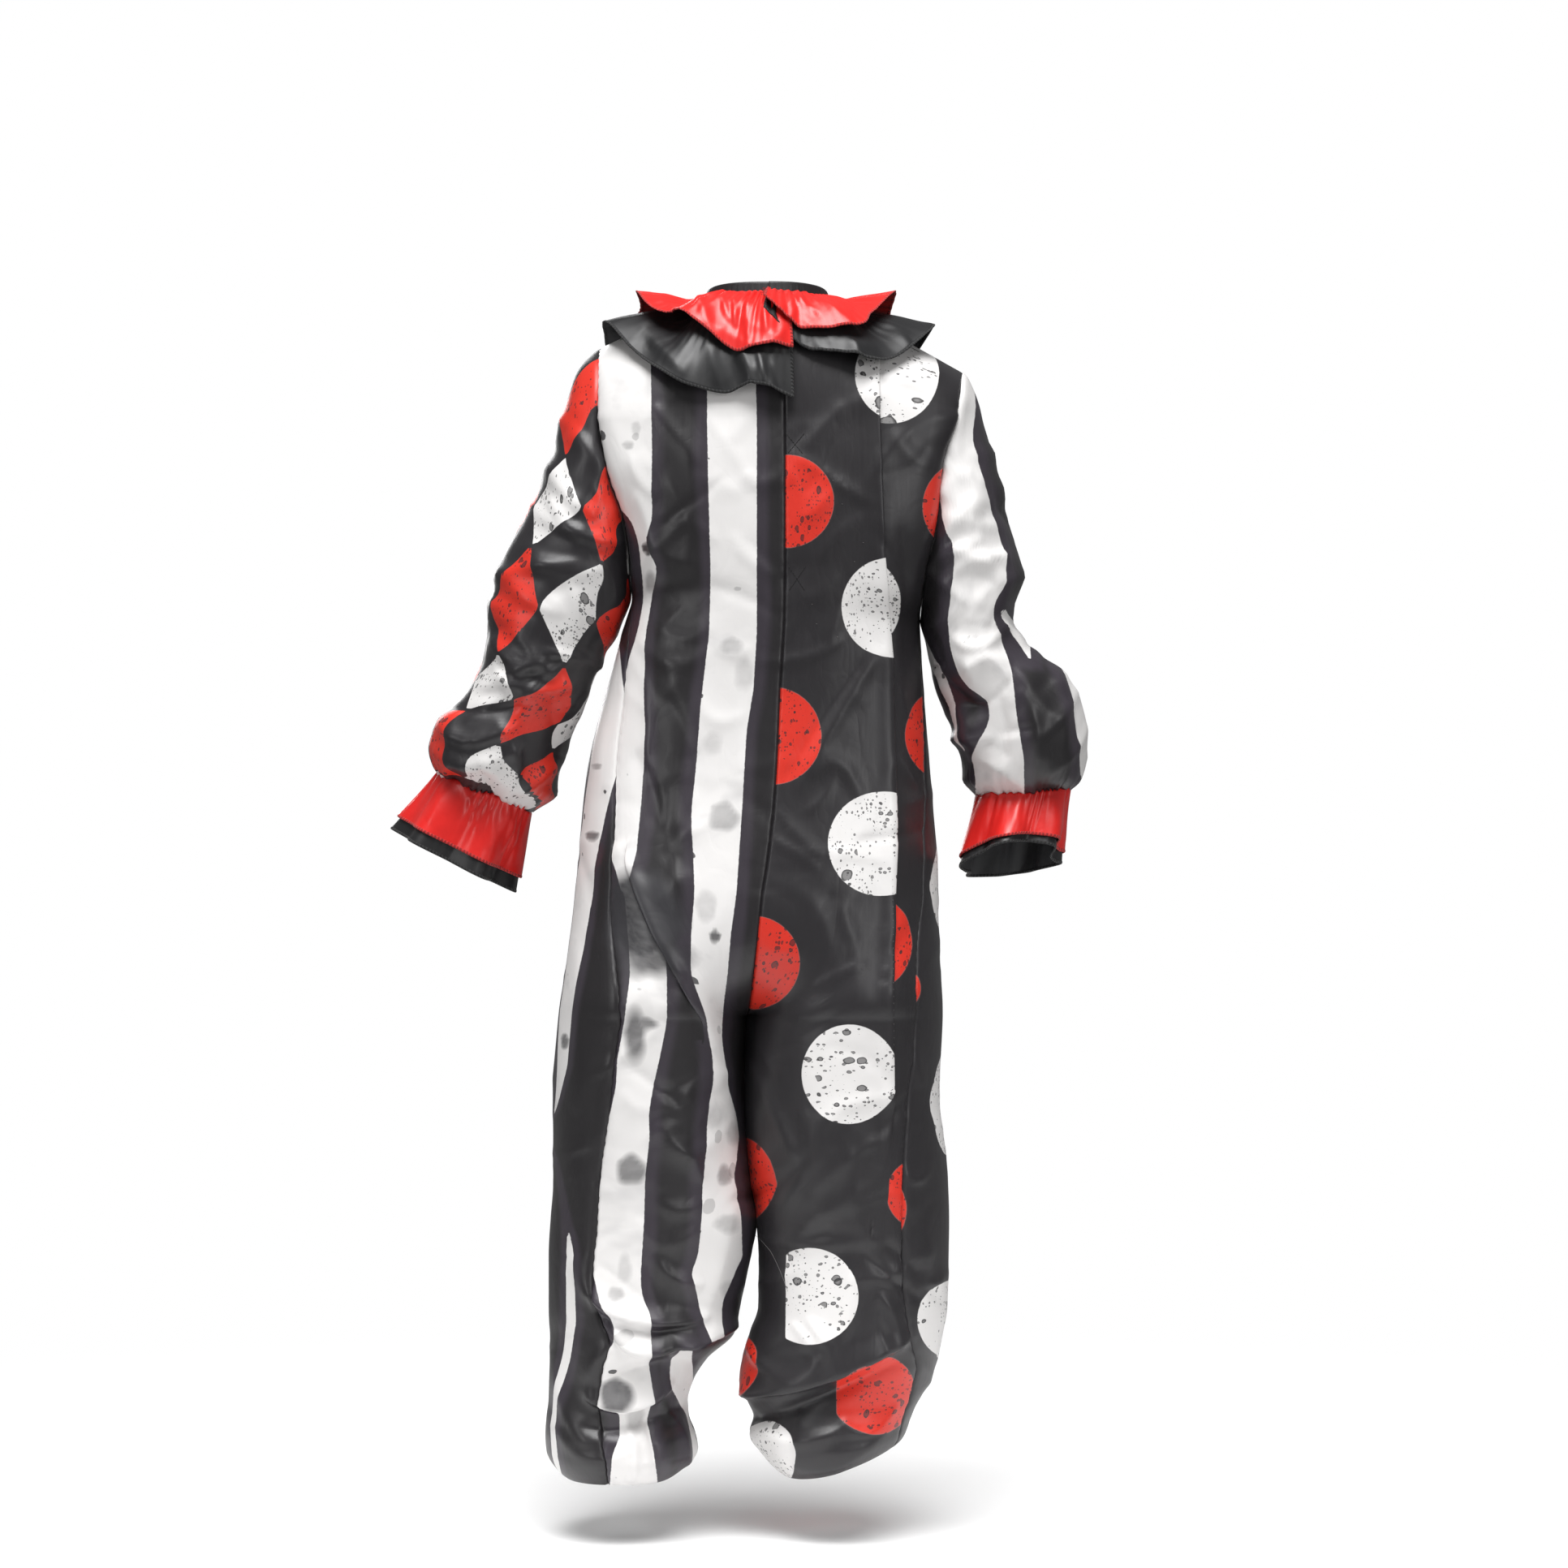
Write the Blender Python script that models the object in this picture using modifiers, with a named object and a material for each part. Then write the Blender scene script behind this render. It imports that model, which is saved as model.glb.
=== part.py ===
"""Clown jumpsuit for a child, in its worn form: a hollow cloth body with sleeves, a two-tier
neck ruffle and two-tier wrist ruffles, open at neck, wrists and ankles.

Metres, +Z up. The back faces +Y, the front -Y, and the wearer's left is +X. The origin is the
middle of the neck opening, where the shoulders carry the suit.
"""
import bpy
import numpy as np
from math import asin, cos, pi, radians, sin
from typing import NamedTuple
from mathutils import Vector
from mathutils.bvhtree import BVHTree

# ---------------------------------------------------------------- driving dimensions
WALL = 0.0012              # cloth wall
SEAM_RUN = 0.00022         # how far along the cloth each panel stops short of its seam
SHOULDER_RUN = 0.0009      # the same at the shoulder seam, where the panels meet at an angle
LEG_CLEARANCE = 0.0015     # each leg stays this far from the line where the legs meet

NECK_HALF_WIDTH = 0.056    # neck opening, side to side
NECK_HALF_DEPTH = 0.053    # neck opening, front to back
NECK_FRONT_DROP = 0.030    # the front neckline lies this much lower
NECK_POINT_AZIMUTH = radians(94)   # where the shoulder seam meets the neck
NECK_SHARE = 0.36          # share of a panel's top edge that is neckline
BACK_OPENING_X = -0.0150   # centre-back seam at the neck

BAND_HEIGHT = 0.0125
BAND_LEAN = 0.002          # its top leans in by this much
SHOULDER_CROWN = 0.004     # the shoulder seam bows up by this much
YOKE_PULL = (0.5, 0.92, 0.2)   # how near the first level, in x, y and z, the yoke's curve is drawn
SHOULDER_Y = -0.004
SHOULDER_TIP = {"left": (0.149, -0.042), "right": (-0.176, -0.064)}   # x, z

CROTCH_TOP = -0.522        # the centre seam starts to turn under here
CROTCH_POINT = -0.632      # the four panels meet here
CROTCH_FULLNESS = 0.48     # keeps the seat as deep as the trunk above and the legs below
TRUNK_ROUNDING = (0.85, 0.9)   # powers of sine and cosine that round a trunk level in x and y

BACK_COLUMNS = (3, 4)      # under the neckline, and from there to the side seam
FRONT_COLUMNS = (4, 6)
SLEEVE_COLUMNS = 18
CUFF_COLUMNS = 24
RUFFLE_COLUMNS = 45
BAND_COLUMNS = 31


class TorsoSection(NamedTuple):
    """A level of the trunk. arm is half the armhole's width; side is where the side seam lies,
    0 at centre back, 0.5 at the body's side and 1 at centre front."""
    z: float
    seam: float
    left: float
    right: float
    back: float
    front: float
    arm_left: float
    arm_right: float
    side_left: float
    side_right: float


TORSO = [
    #            z       seam     left    right    back   front   arm_l  arm_r  side_l side_r
    TorsoSection(-0.107, -0.0160, 0.1480, -0.1680, 0.084, 0.080, 0.050, 0.054, 0.500, 0.500),
    TorsoSection(-0.150, -0.0165, 0.1400, -0.1540, 0.090, 0.090, 0.052, 0.057, 0.500, 0.500),
    TorsoSection(-0.200, -0.0165, 0.1240, -0.1480, 0.092, 0.096, 0.045, 0.054, 0.500, 0.500),
    TorsoSection(-0.240, -0.0165, 0.1190, -0.1390, 0.091, 0.099, 0.028, 0.042, 0.500, 0.500),
    TorsoSection(-0.262, -0.0160, 0.1190, -0.1360, 0.090, 0.100, 0.000, 0.028, 0.500, 0.500),
    TorsoSection(-0.287, -0.0155, 0.1260, -0.1350, 0.089, 0.101, 0.000, 0.000, 0.400, 0.500),
    TorsoSection(-0.344, -0.0122, 0.1420, -0.1380, 0.088, 0.103, 0.000, 0.000, 0.333, 0.450),
    TorsoSection(-0.416, -0.0090, 0.1590, -0.1440, 0.092, 0.105, 0.000, 0.000, 0.300, 0.400),
    TorsoSection(-0.495, -0.0010, 0.1670, -0.1510, 0.104, 0.106, 0.000, 0.000, 0.275, 0.350),
    TorsoSection(-0.522, 0.0035, 0.1695, -0.1515, 0.108, 0.105, 0.000, 0.000, 0.270, 0.345),
    TorsoSection(-0.560, 0.0095, 0.1735, -0.1520, 0.111, 0.104, 0.000, 0.000, 0.270, 0.340),
    TorsoSection(-0.597, 0.0145, 0.1785, -0.1540, 0.110, 0.103, 0.000, 0.000, 0.280, 0.355),
]


class LegSection(NamedTuple):
    """A level of the legs. rise lifts the outer side of the right leg's level."""
    z: float
    left_in: float
    left_out: float
    right_in: float
    right_out: float
    back: float
    front: float
    side_left: float
    side_right: float
    rise: float


LEGS = [
    #          z       left_in  left_out right_in right_out back  front  side_l side_r rise
    LegSection(-0.632, 0.0195, 0.1840, 0.0165, -0.1555, 0.108, 0.102, 0.298, 0.372, 0.000),
    LegSection(-0.704, 0.0215, 0.1890, 0.0185, -0.1525, 0.104, 0.102, 0.310, 0.361, 0.000),
    LegSection(-0.776, 0.0165, 0.1890, 0.0135, -0.1600, 0.098, 0.100, 0.335, 0.335, 0.000),
    LegSection(-0.812, 0.0115, 0.1910, 0.0065, -0.1610, 0.095, 0.098, 0.337, 0.330, 0.000),
    LegSection(-0.848, 0.0150, 0.1930, 0.0070, -0.1610, 0.093, 0.096, 0.337, 0.330, 0.000),
    LegSection(-0.890, 0.0240, 0.1930, 0.0075, -0.1600, 0.093, 0.094, 0.320, 0.340, 0.000),
    LegSection(-0.913, 0.0290, 0.1920, 0.0145, -0.1560, 0.093, 0.092, 0.300, 0.360, 0.000),
    LegSection(-0.936, 0.0530, 0.1920, 0.0215, -0.1510, 0.086, 0.087, 0.295, 0.385, 0.000),
    LegSection(-0.956, 0.0655, 0.1925, 0.0245, -0.1440, 0.080, 0.081, 0.290, 0.400, 0.002),
    LegSection(-0.974, 0.0705, 0.1935, 0.0170, -0.1360, 0.078, 0.079, 0.285, 0.410, 0.005),
    LegSection(-0.988, 0.0695, 0.1955, 0.0120, -0.1300, 0.081, 0.083, 0.280, 0.415, 0.008),
    LegSection(-1.003, 0.0640, 0.1965, 0.0150, -0.1265, 0.085, 0.088, 0.280, 0.420, 0.013),
    LegSection(-1.017, 0.0615, 0.1955, 0.0060, -0.1240, 0.085, 0.087, 0.275, 0.420, 0.019),
    LegSection(-1.030, 0.0705, 0.1885, -0.0040, -0.1200, 0.078, 0.079, 0.275, 0.420, 0.024),
    LegSection(-1.040, 0.0850, 0.1760, -0.0190, -0.1080, 0.064, 0.064, 0.275, 0.420, 0.027),
    LegSection(-1.033, 0.0930, 0.1680, -0.0270, -0.1000, 0.054, 0.054, 0.275, 0.420, 0.027),
]
ROWS_DOWN = [0.0, 0.25, 0.5, 0.75] + list(range(1, len(TORSO) + len(LEGS) + 1))


class Fold(NamedTuple):
    """A broad fold of a panel, from its start to its end in the front or back view."""
    side: str
    face: str
    x0: float
    z0: float
    x1: float
    z1: float
    width: float
    height: float


FOLDS = [
    #    side     face     x0      z0      x1      z1     width  height
    Fold("left", "back", 0.132, -0.480, 0.075, -0.600, 0.024, 0.007),
    Fold("left", "back", 0.098, -0.280, 0.060, -0.400, 0.020, 0.004),
    Fold("left", "back", 0.150, -0.905, 0.040, -0.905, 0.012, 0.006),
    Fold("left", "back", 0.150, -0.952, 0.085, -0.968, 0.010, -0.005),
    Fold("right", "back", -0.100, -0.130, -0.112, -0.620, 0.016, 0.005),
    Fold("right", "back", -0.130, -0.910, -0.005, -0.962, 0.016, 0.007),
    Fold("right", "back", -0.060, -0.720, -0.040, -0.820, 0.024, 0.004),
    Fold("left", "front", 0.060, -0.180, 0.075, -0.480, 0.024, 0.005),
    Fold("left", "front", 0.150, -0.930, 0.060, -0.915, 0.016, 0.006),
    Fold("left", "front", 0.105, -0.680, 0.085, -0.830, 0.026, 0.005),
    Fold("right", "front", -0.085, -0.180, -0.075, -0.470, 0.024, 0.005),
    Fold("right", "front", -0.125, -0.900, -0.030, -0.940, 0.016, 0.006),
    Fold("right", "front", -0.080, -0.680, -0.070, -0.820, 0.026, 0.005),
]


class SleeveRing(NamedTuple):
    """A ring of a sleeve: its outer and inner points in the back view, its middle's y, and half
    its depth from front to back."""
    outer_x: float
    outer_z: float
    inner_x: float
    inner_z: float
    y: float
    depth: float


SLEEVE_RINGS = {
    "left": [
        #          outer_x outer_z  inner_x inner_z   y       depth
        SleeveRing(0.1680, -0.0600, 0.1215, -0.2660, -0.002, 0.060),
        SleeveRing(0.1814, -0.1060, 0.1245, -0.2740, -0.002, 0.064),
        SleeveRing(0.1987, -0.1640, 0.1290, -0.2840, -0.001, 0.064),
        SleeveRing(0.2190, -0.2010, 0.1330, -0.2940, 0.000, 0.062),
        SleeveRing(0.2390, -0.2400, 0.1380, -0.3040, 0.000, 0.060),
        SleeveRing(0.2470, -0.2880, 0.1460, -0.3180, -0.002, 0.058),
        SleeveRing(0.2540, -0.3240, 0.1550, -0.3400, -0.006, 0.056),
        SleeveRing(0.2690, -0.3500, 0.1640, -0.3610, -0.010, 0.056),
        SleeveRing(0.2950, -0.3740, 0.1760, -0.3880, -0.016, 0.060),
        SleeveRing(0.3015, -0.3960, 0.1865, -0.4180, -0.022, 0.061),
        SleeveRing(0.2970, -0.4110, 0.1890, -0.4370, -0.026, 0.054),
        SleeveRing(0.2930, -0.4160, 0.2100, -0.4520, -0.029, 0.038),
    ],
    "right": [
        SleeveRing(-0.1860, -0.0850, -0.1395, -0.2920, -0.002, 0.062),
        SleeveRing(-0.1940, -0.1210, -0.1415, -0.3000, -0.002, 0.066),
        SleeveRing(-0.2060, -0.1640, -0.1430, -0.3080, -0.001, 0.066),
        SleeveRing(-0.2170, -0.2040, -0.1445, -0.3160, 0.000, 0.064),
        SleeveRing(-0.2280, -0.2400, -0.1460, -0.3240, 0.002, 0.062),
        SleeveRing(-0.2150, -0.2770, -0.1475, -0.3340, 0.004, 0.058),
        SleeveRing(-0.2280, -0.3040, -0.1500, -0.3440, 0.004, 0.058),
        SleeveRing(-0.2590, -0.3240, -0.1545, -0.3560, 0.002, 0.060),
        SleeveRing(-0.2720, -0.3450, -0.1625, -0.3690, 0.000, 0.062),
        SleeveRing(-0.2830, -0.3770, -0.1700, -0.3890, -0.003, 0.064),
        SleeveRing(-0.2830, -0.4020, -0.1750, -0.4090, -0.005, 0.062),
        SleeveRing(-0.2770, -0.4240, -0.1745, -0.4230, -0.007, 0.052),
        SleeveRing(-0.2686, -0.4310, -0.1860, -0.4370, -0.008, 0.038),
    ],
}

ARMHOLE_STANDOFF = 0.0021  # the sleeve's first ring stands this far out from the armhole edge


class Cuff(NamedTuple):
    """The hem line of a wrist ruffle: outer and inner points, middle's y and half depth, how
    much higher the back edge lies, its ruffles and how far the under tier shows."""
    outer_x: float
    outer_z: float
    inner_x: float
    inner_z: float
    y: float
    depth: float
    back_rise: float
    ruffles: int
    ruffle_height: float
    phase: float
    under_shows: float


CUFFS = {
    "left": Cuff(0.3260, -0.4590, 0.2255, -0.5090, -0.040, 0.054, 0.000, 6, 0.0050, 0.4, 0.0135),
    "right": Cuff(-0.2620, -0.4870, -0.1740, -0.4960, -0.006, 0.052, 0.020, 6, 0.0050, 1.9, 0.0130),
}
CUFF_SEAM = 0.0014          # the ruffles start this far below the sleeve's last ring
CUFF_STEP = 0.0026          # between the middles of the two wrist ruffles


class RuffleEdge(NamedTuple):
    """How deep the two neck ruffles are at an azimuth, in degrees from centre back towards the
    wearer's left, measured over the cloth from the neck seam, and how far each tier's edge
    stands off the suit there."""
    azimuth: float
    red: float
    black: float
    red_lift: float
    black_lift: float


RIGHT_END = -2.0           # the ruffles' and the band's right end, lapped over the left one
LEFT_END = -378.0          # their left end, one turn further round
RUFFLE_EDGES = [
    #          azimuth red    black  red_l  black_l
    RuffleEdge(-2.0, 0.030, 0.036, 0.006, 0.005),
    RuffleEdge(-20.0, 0.050, 0.060, 0.008, 0.006),
    RuffleEdge(-38.0, 0.062, 0.078, 0.010, 0.007),
    RuffleEdge(-48.0, 0.065, 0.090, 0.012, 0.008),
    RuffleEdge(-58.0, 0.052, 0.092, 0.018, 0.010),
    RuffleEdge(-75.0, 0.044, 0.086, 0.023, 0.014),
    RuffleEdge(-90.0, 0.042, 0.080, 0.022, 0.016),
    RuffleEdge(-110.0, 0.050, 0.086, 0.022, 0.014),
    RuffleEdge(-135.0, 0.068, 0.096, 0.014, 0.010),
    RuffleEdge(-180.0, 0.070, 0.100, 0.011, 0.008),
    RuffleEdge(-225.0, 0.068, 0.096, 0.014, 0.010),
    RuffleEdge(-250.0, 0.050, 0.086, 0.022, 0.014),
    RuffleEdge(-270.0, 0.042, 0.080, 0.022, 0.016),
    RuffleEdge(-285.0, 0.044, 0.078, 0.023, 0.014),
    RuffleEdge(-300.0, 0.050, 0.086, 0.024, 0.010),
    RuffleEdge(-315.0, 0.048, 0.093, 0.016, 0.008),
    RuffleEdge(-330.0, 0.056, 0.103, 0.010, 0.006),
    RuffleEdge(-343.0, 0.066, 0.102, 0.008, 0.006),
    RuffleEdge(-352.0, 0.072, 0.098, 0.007, 0.006),
    RuffleEdge(-378.0, 0.068, 0.107, 0.006, 0.005),
]
RUFFLE_ROWS = (0.0, 0.14, 0.38, 0.68, 1.0)   # shares of a ruffle's depth
RUFFLE_WAVES = 9
RUFFLE_WAVE_HEIGHT = 0.0055
RUFFLE_STEP = 0.0038       # between the middles of the two tiers
SEAM_SHARE = 0.5           # share of that step left where both are sewn into the neck seam
LAP_FULL = -21.0           # the lap's rise is whole from the right end to here, in degrees
LAP_FADE = 25.0            # and gone this much further round
RUFFLE_STAND = 0.0022      # the lower tier lies this far off the panels
RUFFLE_SEAM_OUT = 0.0018   # the tiers' inner edges lie this far outside the band's middle
LAP_RISE = 0.0065          # the right ends rise this much over the left ones
LAP_OUT = 0.0017           # and lie this much further out
BAND_SEAM = 0.0015         # the band starts this much above the neck seam
CHEST_MIDDLE = (-0.010, 0.0, -0.150)
CHEST_ROWS = 41            # of the surface that the neck ruffles are laid on, for each half
CHEST_COLUMNS = 61
CHEST_LEVELS = 5.0         # it reaches down to this level
DRAPE_REACH = 0.6          # rays towards the chest's middle start this far out
DRAPE_TURN = radians(95)   # and turn this far down from the neck seam
FRONT_EDGE = 1e-6          # at 0.5 a level is the armhole's back edge, just past it the front's

SIDE_SIGN = {"left": 1.0, "right": -1.0}
FACE_SIGN = {"back": 1.0, "front": -1.0}

COLOURS = {
    "stripe_satin": (0.62, 0.60, 0.58, 0.42),
    "dot_satin": (0.045, 0.042, 0.044, 0.42),
    "diamond_satin": (0.42, 0.05, 0.03, 0.40),
    "red_satin": (0.68, 0.025, 0.022, 0.34),
    "black_satin": (0.024, 0.024, 0.026, 0.42),
}


# ---------------------------------------------------------------- curves and lofts
def smooth_rows(table, at):
    """The table's columns at row positions 0, 1, 2, ... and between, without overshoot."""
    values = np.asarray(table, dtype=float)
    steps = np.diff(values, axis=0)
    slopes = np.zeros_like(values)
    product = steps[:-1] * steps[1:]
    total = np.where(product > 0, steps[:-1] + steps[1:], 1.0)
    slopes[1:-1] = np.where(product > 0, 2.0 * product / total, 0.0)
    slopes[0] = steps[0]
    slopes[-1] = steps[-1]
    at = np.clip(np.asarray(at, dtype=float), 0.0, len(values) - 1.0)
    low = np.minimum(at.astype(int), len(values) - 2)
    f = (at - low)[:, None]
    return ((1 + 2 * f) * (1 - f) ** 2 * values[low] + f * (1 - f) ** 2 * slopes[low]
            + f * f * (3 - 2 * f) * values[low + 1] + f * f * (f - 1) * slopes[low + 1])


def resample(points, count):
    """Points spaced evenly along a line, with both of its ends."""
    points = np.asarray(points)
    steps = np.linalg.norm(np.diff(points, axis=0), axis=1)
    run = np.concatenate([[0.0], np.cumsum(steps)])
    at = np.linspace(0.0, run[-1], count)
    return np.stack([np.interp(at, run, points[:, axis]) for axis in range(3)], axis=1)


def grid_normals(grid, closed=False):
    """Unit normals of a grid of points, rows by columns."""
    if closed:
        wide = np.concatenate([grid[:, -1:], grid, grid[:, :1]], axis=1)
        across = np.gradient(wide, axis=1)[:, 1:-1]
    else:
        across = np.gradient(grid, axis=1)
    down = np.gradient(grid, axis=0)
    normals = np.cross(across, down)
    return normals / np.maximum(np.linalg.norm(normals, axis=2, keepdims=True), 1e-9)


def satin(name):
    red, green, blue, rough = COLOURS[name]
    material = bpy.data.materials.get(name) or bpy.data.materials.new(name)
    material.use_nodes = True
    shader = material.node_tree.nodes["Principled BSDF"]
    shader.inputs["Base Color"].default_value = (red, green, blue, 1.0)
    shader.inputs["Roughness"].default_value = rough
    shader.inputs["Metallic"].default_value = 0.0
    return material


def cloth_shell(name, grid, material, closed=False, outward=1.0):
    """A cloth piece: the grid's open surface, given the cloth's wall on both sides of it."""
    rows, columns = grid.shape[:2]
    faces = []
    for i in range(rows - 1):
        for j in range(columns if closed else columns - 1):
            k = (j + 1) % columns
            face = [i * columns + j, i * columns + k, (i + 1) * columns + k, (i + 1) * columns + j]
            faces.append(face if outward > 0 else face[::-1])
    mesh = bpy.data.meshes.new(name)
    mesh.from_pydata(grid.reshape(-1, 3).tolist(), [], faces)
    mesh.materials.append(satin(material))
    mesh.shade_smooth()
    piece = bpy.data.objects.new(name, mesh)
    jumpsuit.objects.link(piece)
    wall = piece.modifiers.new("wall", "SOLIDIFY")
    wall.thickness = WALL
    wall.offset = 0.0
    return piece


# ---------------------------------------------------------------- the suit's surface
def neck_point(azimuth):
    """A point of the neck seam; azimuth 0 is the back, positive towards the wearer's left."""
    azimuth = np.asarray(azimuth)
    dip = NECK_FRONT_DROP * ((1 - np.cos(azimuth)) / 2) ** 2
    return np.stack([NECK_HALF_WIDTH * np.sin(azimuth), NECK_HALF_DEPTH * np.cos(azimuth), -dip], -1)


def top_edge(side, face, share):
    """A panel's top edge: share 0 at the centre seam, 1 at the shoulder tip."""
    start = asin(BACK_OPENING_X / NECK_HALF_WIDTH)
    if face == "front":
        start = pi - start if side == "left" else -pi - start
    end = SIDE_SIGN[side] * NECK_POINT_AZIMUTH
    on_neck = np.clip(share / NECK_SHARE, 0, 1)
    neck = neck_point(start + (end - start) * on_neck)
    tip_x, tip_z = SHOULDER_TIP[side]
    out = np.clip((share - NECK_SHARE) / (1 - NECK_SHARE), 0, 1)[..., None]
    tip = np.array([tip_x, SHOULDER_Y, tip_z])
    line = neck + (tip - neck) * out
    line[..., 2] += SHOULDER_CROWN * np.sin(pi * out[..., 0])
    return line


def section_columns(side, down):
    """The levels' columns for one side: z, inner, outer, back, front, arm, seam place, rise."""
    rows = []
    for t in TORSO:
        outer = t.left if side == "left" else t.right
        arm = t.arm_left if side == "left" else t.arm_right
        place = t.side_left if side == "left" else t.side_right
        rows.append((t.z, t.seam, outer, t.back, t.front, arm, place, 0.0))
    for g in LEGS:
        inner = g.left_in if side == "left" else g.right_in
        outer = g.left_out if side == "left" else g.right_out
        place = g.side_left if side == "left" else g.side_right
        rise = 0.0 if side == "left" else g.rise
        rows.append((g.z, inner, outer, g.back, g.front, 0.0, place, rise))
    return smooth_rows(rows, np.asarray(down) - 1.0).T


def suit_points(side, along, down):
    """Points of one half of the suit. along (rows by columns) is 0 at centre back, 0.5 at the
    body's side and 1 at centre front; down is 0 at the top edge, 1 at the first level, and one
    more at each next level."""
    down = np.asarray(down, dtype=float)
    columns = section_columns(side, np.maximum(down, 1.0))
    z, inner, outer, back, front, arm, _, rise = [c[:, None] for c in columns]
    depth = np.where(along <= 0.5, back, front)
    face = np.where(along <= 0.5, 1.0, -1.0)
    sine = np.abs(np.sin(pi * along))
    cosine = np.abs(np.cos(pi * along))

    turn = np.clip((CROTCH_TOP - z) / (CROTCH_TOP - CROTCH_POINT), 0, 1)
    turning = (turn > 0) & (turn < 1)
    leg = 1 - np.cos(turn * pi / 2)
    torso_x = inner + (outer - inner) * sine ** TRUNK_ROUNDING[0]
    torso_y = face * (arm + (depth - arm) * cosine ** TRUNK_ROUNDING[1])
    leg_x = (inner + outer) / 2 - (outer - inner) / 2 * np.cos(2 * pi * along)
    leg_y = depth * np.sin(2 * pi * along)
    x = (1 - leg) * torso_x + leg * leg_x
    y = ((1 - leg) * torso_y + leg * leg_y) * (1 + CROTCH_FULLNESS * leg * (1 - leg))
    x = x + SIDE_SIGN[side] * np.where(turning, LEG_CLEARANCE * leg * (1 - sine), 0.0)

    drop = (CROTCH_TOP - CROTCH_POINT) * (1 - np.sin(turn * pi / 2))
    centre_z = np.where(turning, CROTCH_POINT + drop, z)
    level_z = centre_z + (z - centre_z) * sine + rise * (1 - np.cos(2 * pi * along)) / 2
    points = np.stack([x, y, level_z], axis=-1)

    top = down < 1
    if top.any():
        share = np.where(along <= 0.5, 2 * along, 2 - 2 * along)
        edge = np.where((along <= 0.5)[..., None], top_edge(side, "back", share),
                        top_edge(side, "front", share))
        crown = edge + (points - edge) * np.array(YOKE_PULL)
        f = np.clip(down, 0, 1)[:, None, None]
        rounded = (1 - f) ** 2 * edge + 2 * f * (1 - f) * crown + f * f * points
        points = np.where(top[:, None, None], rounded, points)
    return points


def seam_places(side, down):
    """Where the side seam lies at each level; above the armhole's foot it is the armhole."""
    return section_columns(side, np.maximum(down, 1.0))[6]


def panel_grid(side, face, columns):
    """A panel's points, from its centre seam to its side seam, stopped short of both seams."""
    down = np.array(ROWS_DOWN)
    place = seam_places(side, down)
    under_neck, beyond = columns
    share = np.concatenate([np.linspace(0.0, NECK_SHARE, under_neck + 1),
                            np.linspace(NECK_SHARE, 1.0, beyond + 1)[1:]])
    start = 0.0 if face == "back" else 1.0
    place = place + (0.0 if face == "back" else FRONT_EDGE)
    along = start + (place - start)[:, None] * share[None, :]
    grid = suit_points(side, along, down)
    for fold in FOLDS:
        if (fold.side, fold.face) == (side, face):
            grid = add_fold(grid, fold)
    for edge, inside in ((0, 1), (-1, -2)):
        step = grid[:, inside] - grid[:, edge]
        grid[:, edge] += SEAM_RUN * step / np.linalg.norm(step, axis=1, keepdims=True)
    step = grid[1] - grid[0]
    grid[0] += SHOULDER_RUN * step / np.linalg.norm(step, axis=1, keepdims=True)
    return grid


def add_fold(grid, fold):
    """Moves the grid out along its normals beside the fold's line, fading at both ends."""
    line = np.array([fold.x1 - fold.x0, fold.z1 - fold.z0])
    length = np.linalg.norm(line)
    line = line / length
    away = grid[..., [0, 2]] - np.array([fold.x0, fold.z0])
    run = np.clip((away @ line) / length, 0, 1)
    beside = away @ np.array([-line[1], line[0]])
    past = np.abs(away @ line / length - run) * length
    swell = np.exp(-(beside ** 2 + past ** 2) / fold.width ** 2) * np.sin(pi * (0.15 + 0.7 * run))
    facing = np.sign(grid[..., 1]) * FACE_SIGN[fold.face] > 0
    normals = grid_normals(grid)
    outward = np.where(normals[..., 1:2] * FACE_SIGN[fold.face] > 0, 1.0, -1.0)
    swell[:, [0, -1]] = 0.0
    return grid + normals * outward * (fold.height * swell * facing)[..., None]


def make_panels():
    """Two back and two front panels, each trunk and leg in one, with the leg's end turned in."""
    cloth = {"left": "stripe_satin", "right": "dot_satin"}
    for side in ("left", "right"):
        for face, columns in (("back", BACK_COLUMNS), ("front", FRONT_COLUMNS)):
            grid = panel_grid(side, face, columns)
            cloth_shell(f"{face}_{side}", grid, cloth[side],
                        outward=-SIDE_SIGN[side] * FACE_SIGN[face])


# ---------------------------------------------------------------- sleeves and wrist ruffles
def ring_points(outer_x, outer_z, inner_x, inner_z, y, depth, columns, reach=None):
    """An oval ring; it starts at its outer point and goes round by the back."""
    angle = np.arange(columns) * 2 * pi / columns
    outer = np.array([outer_x, y, outer_z])
    inner = np.array([inner_x, y, inner_z])
    middle = (outer + inner) / 2
    across = (outer - inner) / 2
    swell = 1.0 if reach is None else reach
    return (middle + (swell * np.cos(angle))[:, None] * across
            + (swell * np.sin(angle))[:, None] * np.array([0.0, depth, 0.0]))


def armhole_ring(side):
    """The armhole's edge, from the shoulder tip down the back and up the front."""
    foot = next(i for i, t in enumerate(TORSO)
                if (t.arm_left if side == "left" else t.arm_right) == 0.0) + 1
    down = np.linspace(0.0, foot, 12 * foot + 1)
    half = np.full((len(down), 1), 0.5)
    back = suit_points(side, half, down)[:, 0]
    front = suit_points(side, half + FRONT_EDGE, down)[:, 0]
    back[:, 0] += SIDE_SIGN[side] * ARMHOLE_STANDOFF
    front[:, 0] += SIDE_SIGN[side] * ARMHOLE_STANDOFF
    half_count = SLEEVE_COLUMNS // 2
    down_the_back = resample(back, half_count + 1)
    up_the_front = resample(front[::-1], half_count + 1)
    return np.concatenate([down_the_back[:-1], up_the_front[:-1]])


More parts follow.
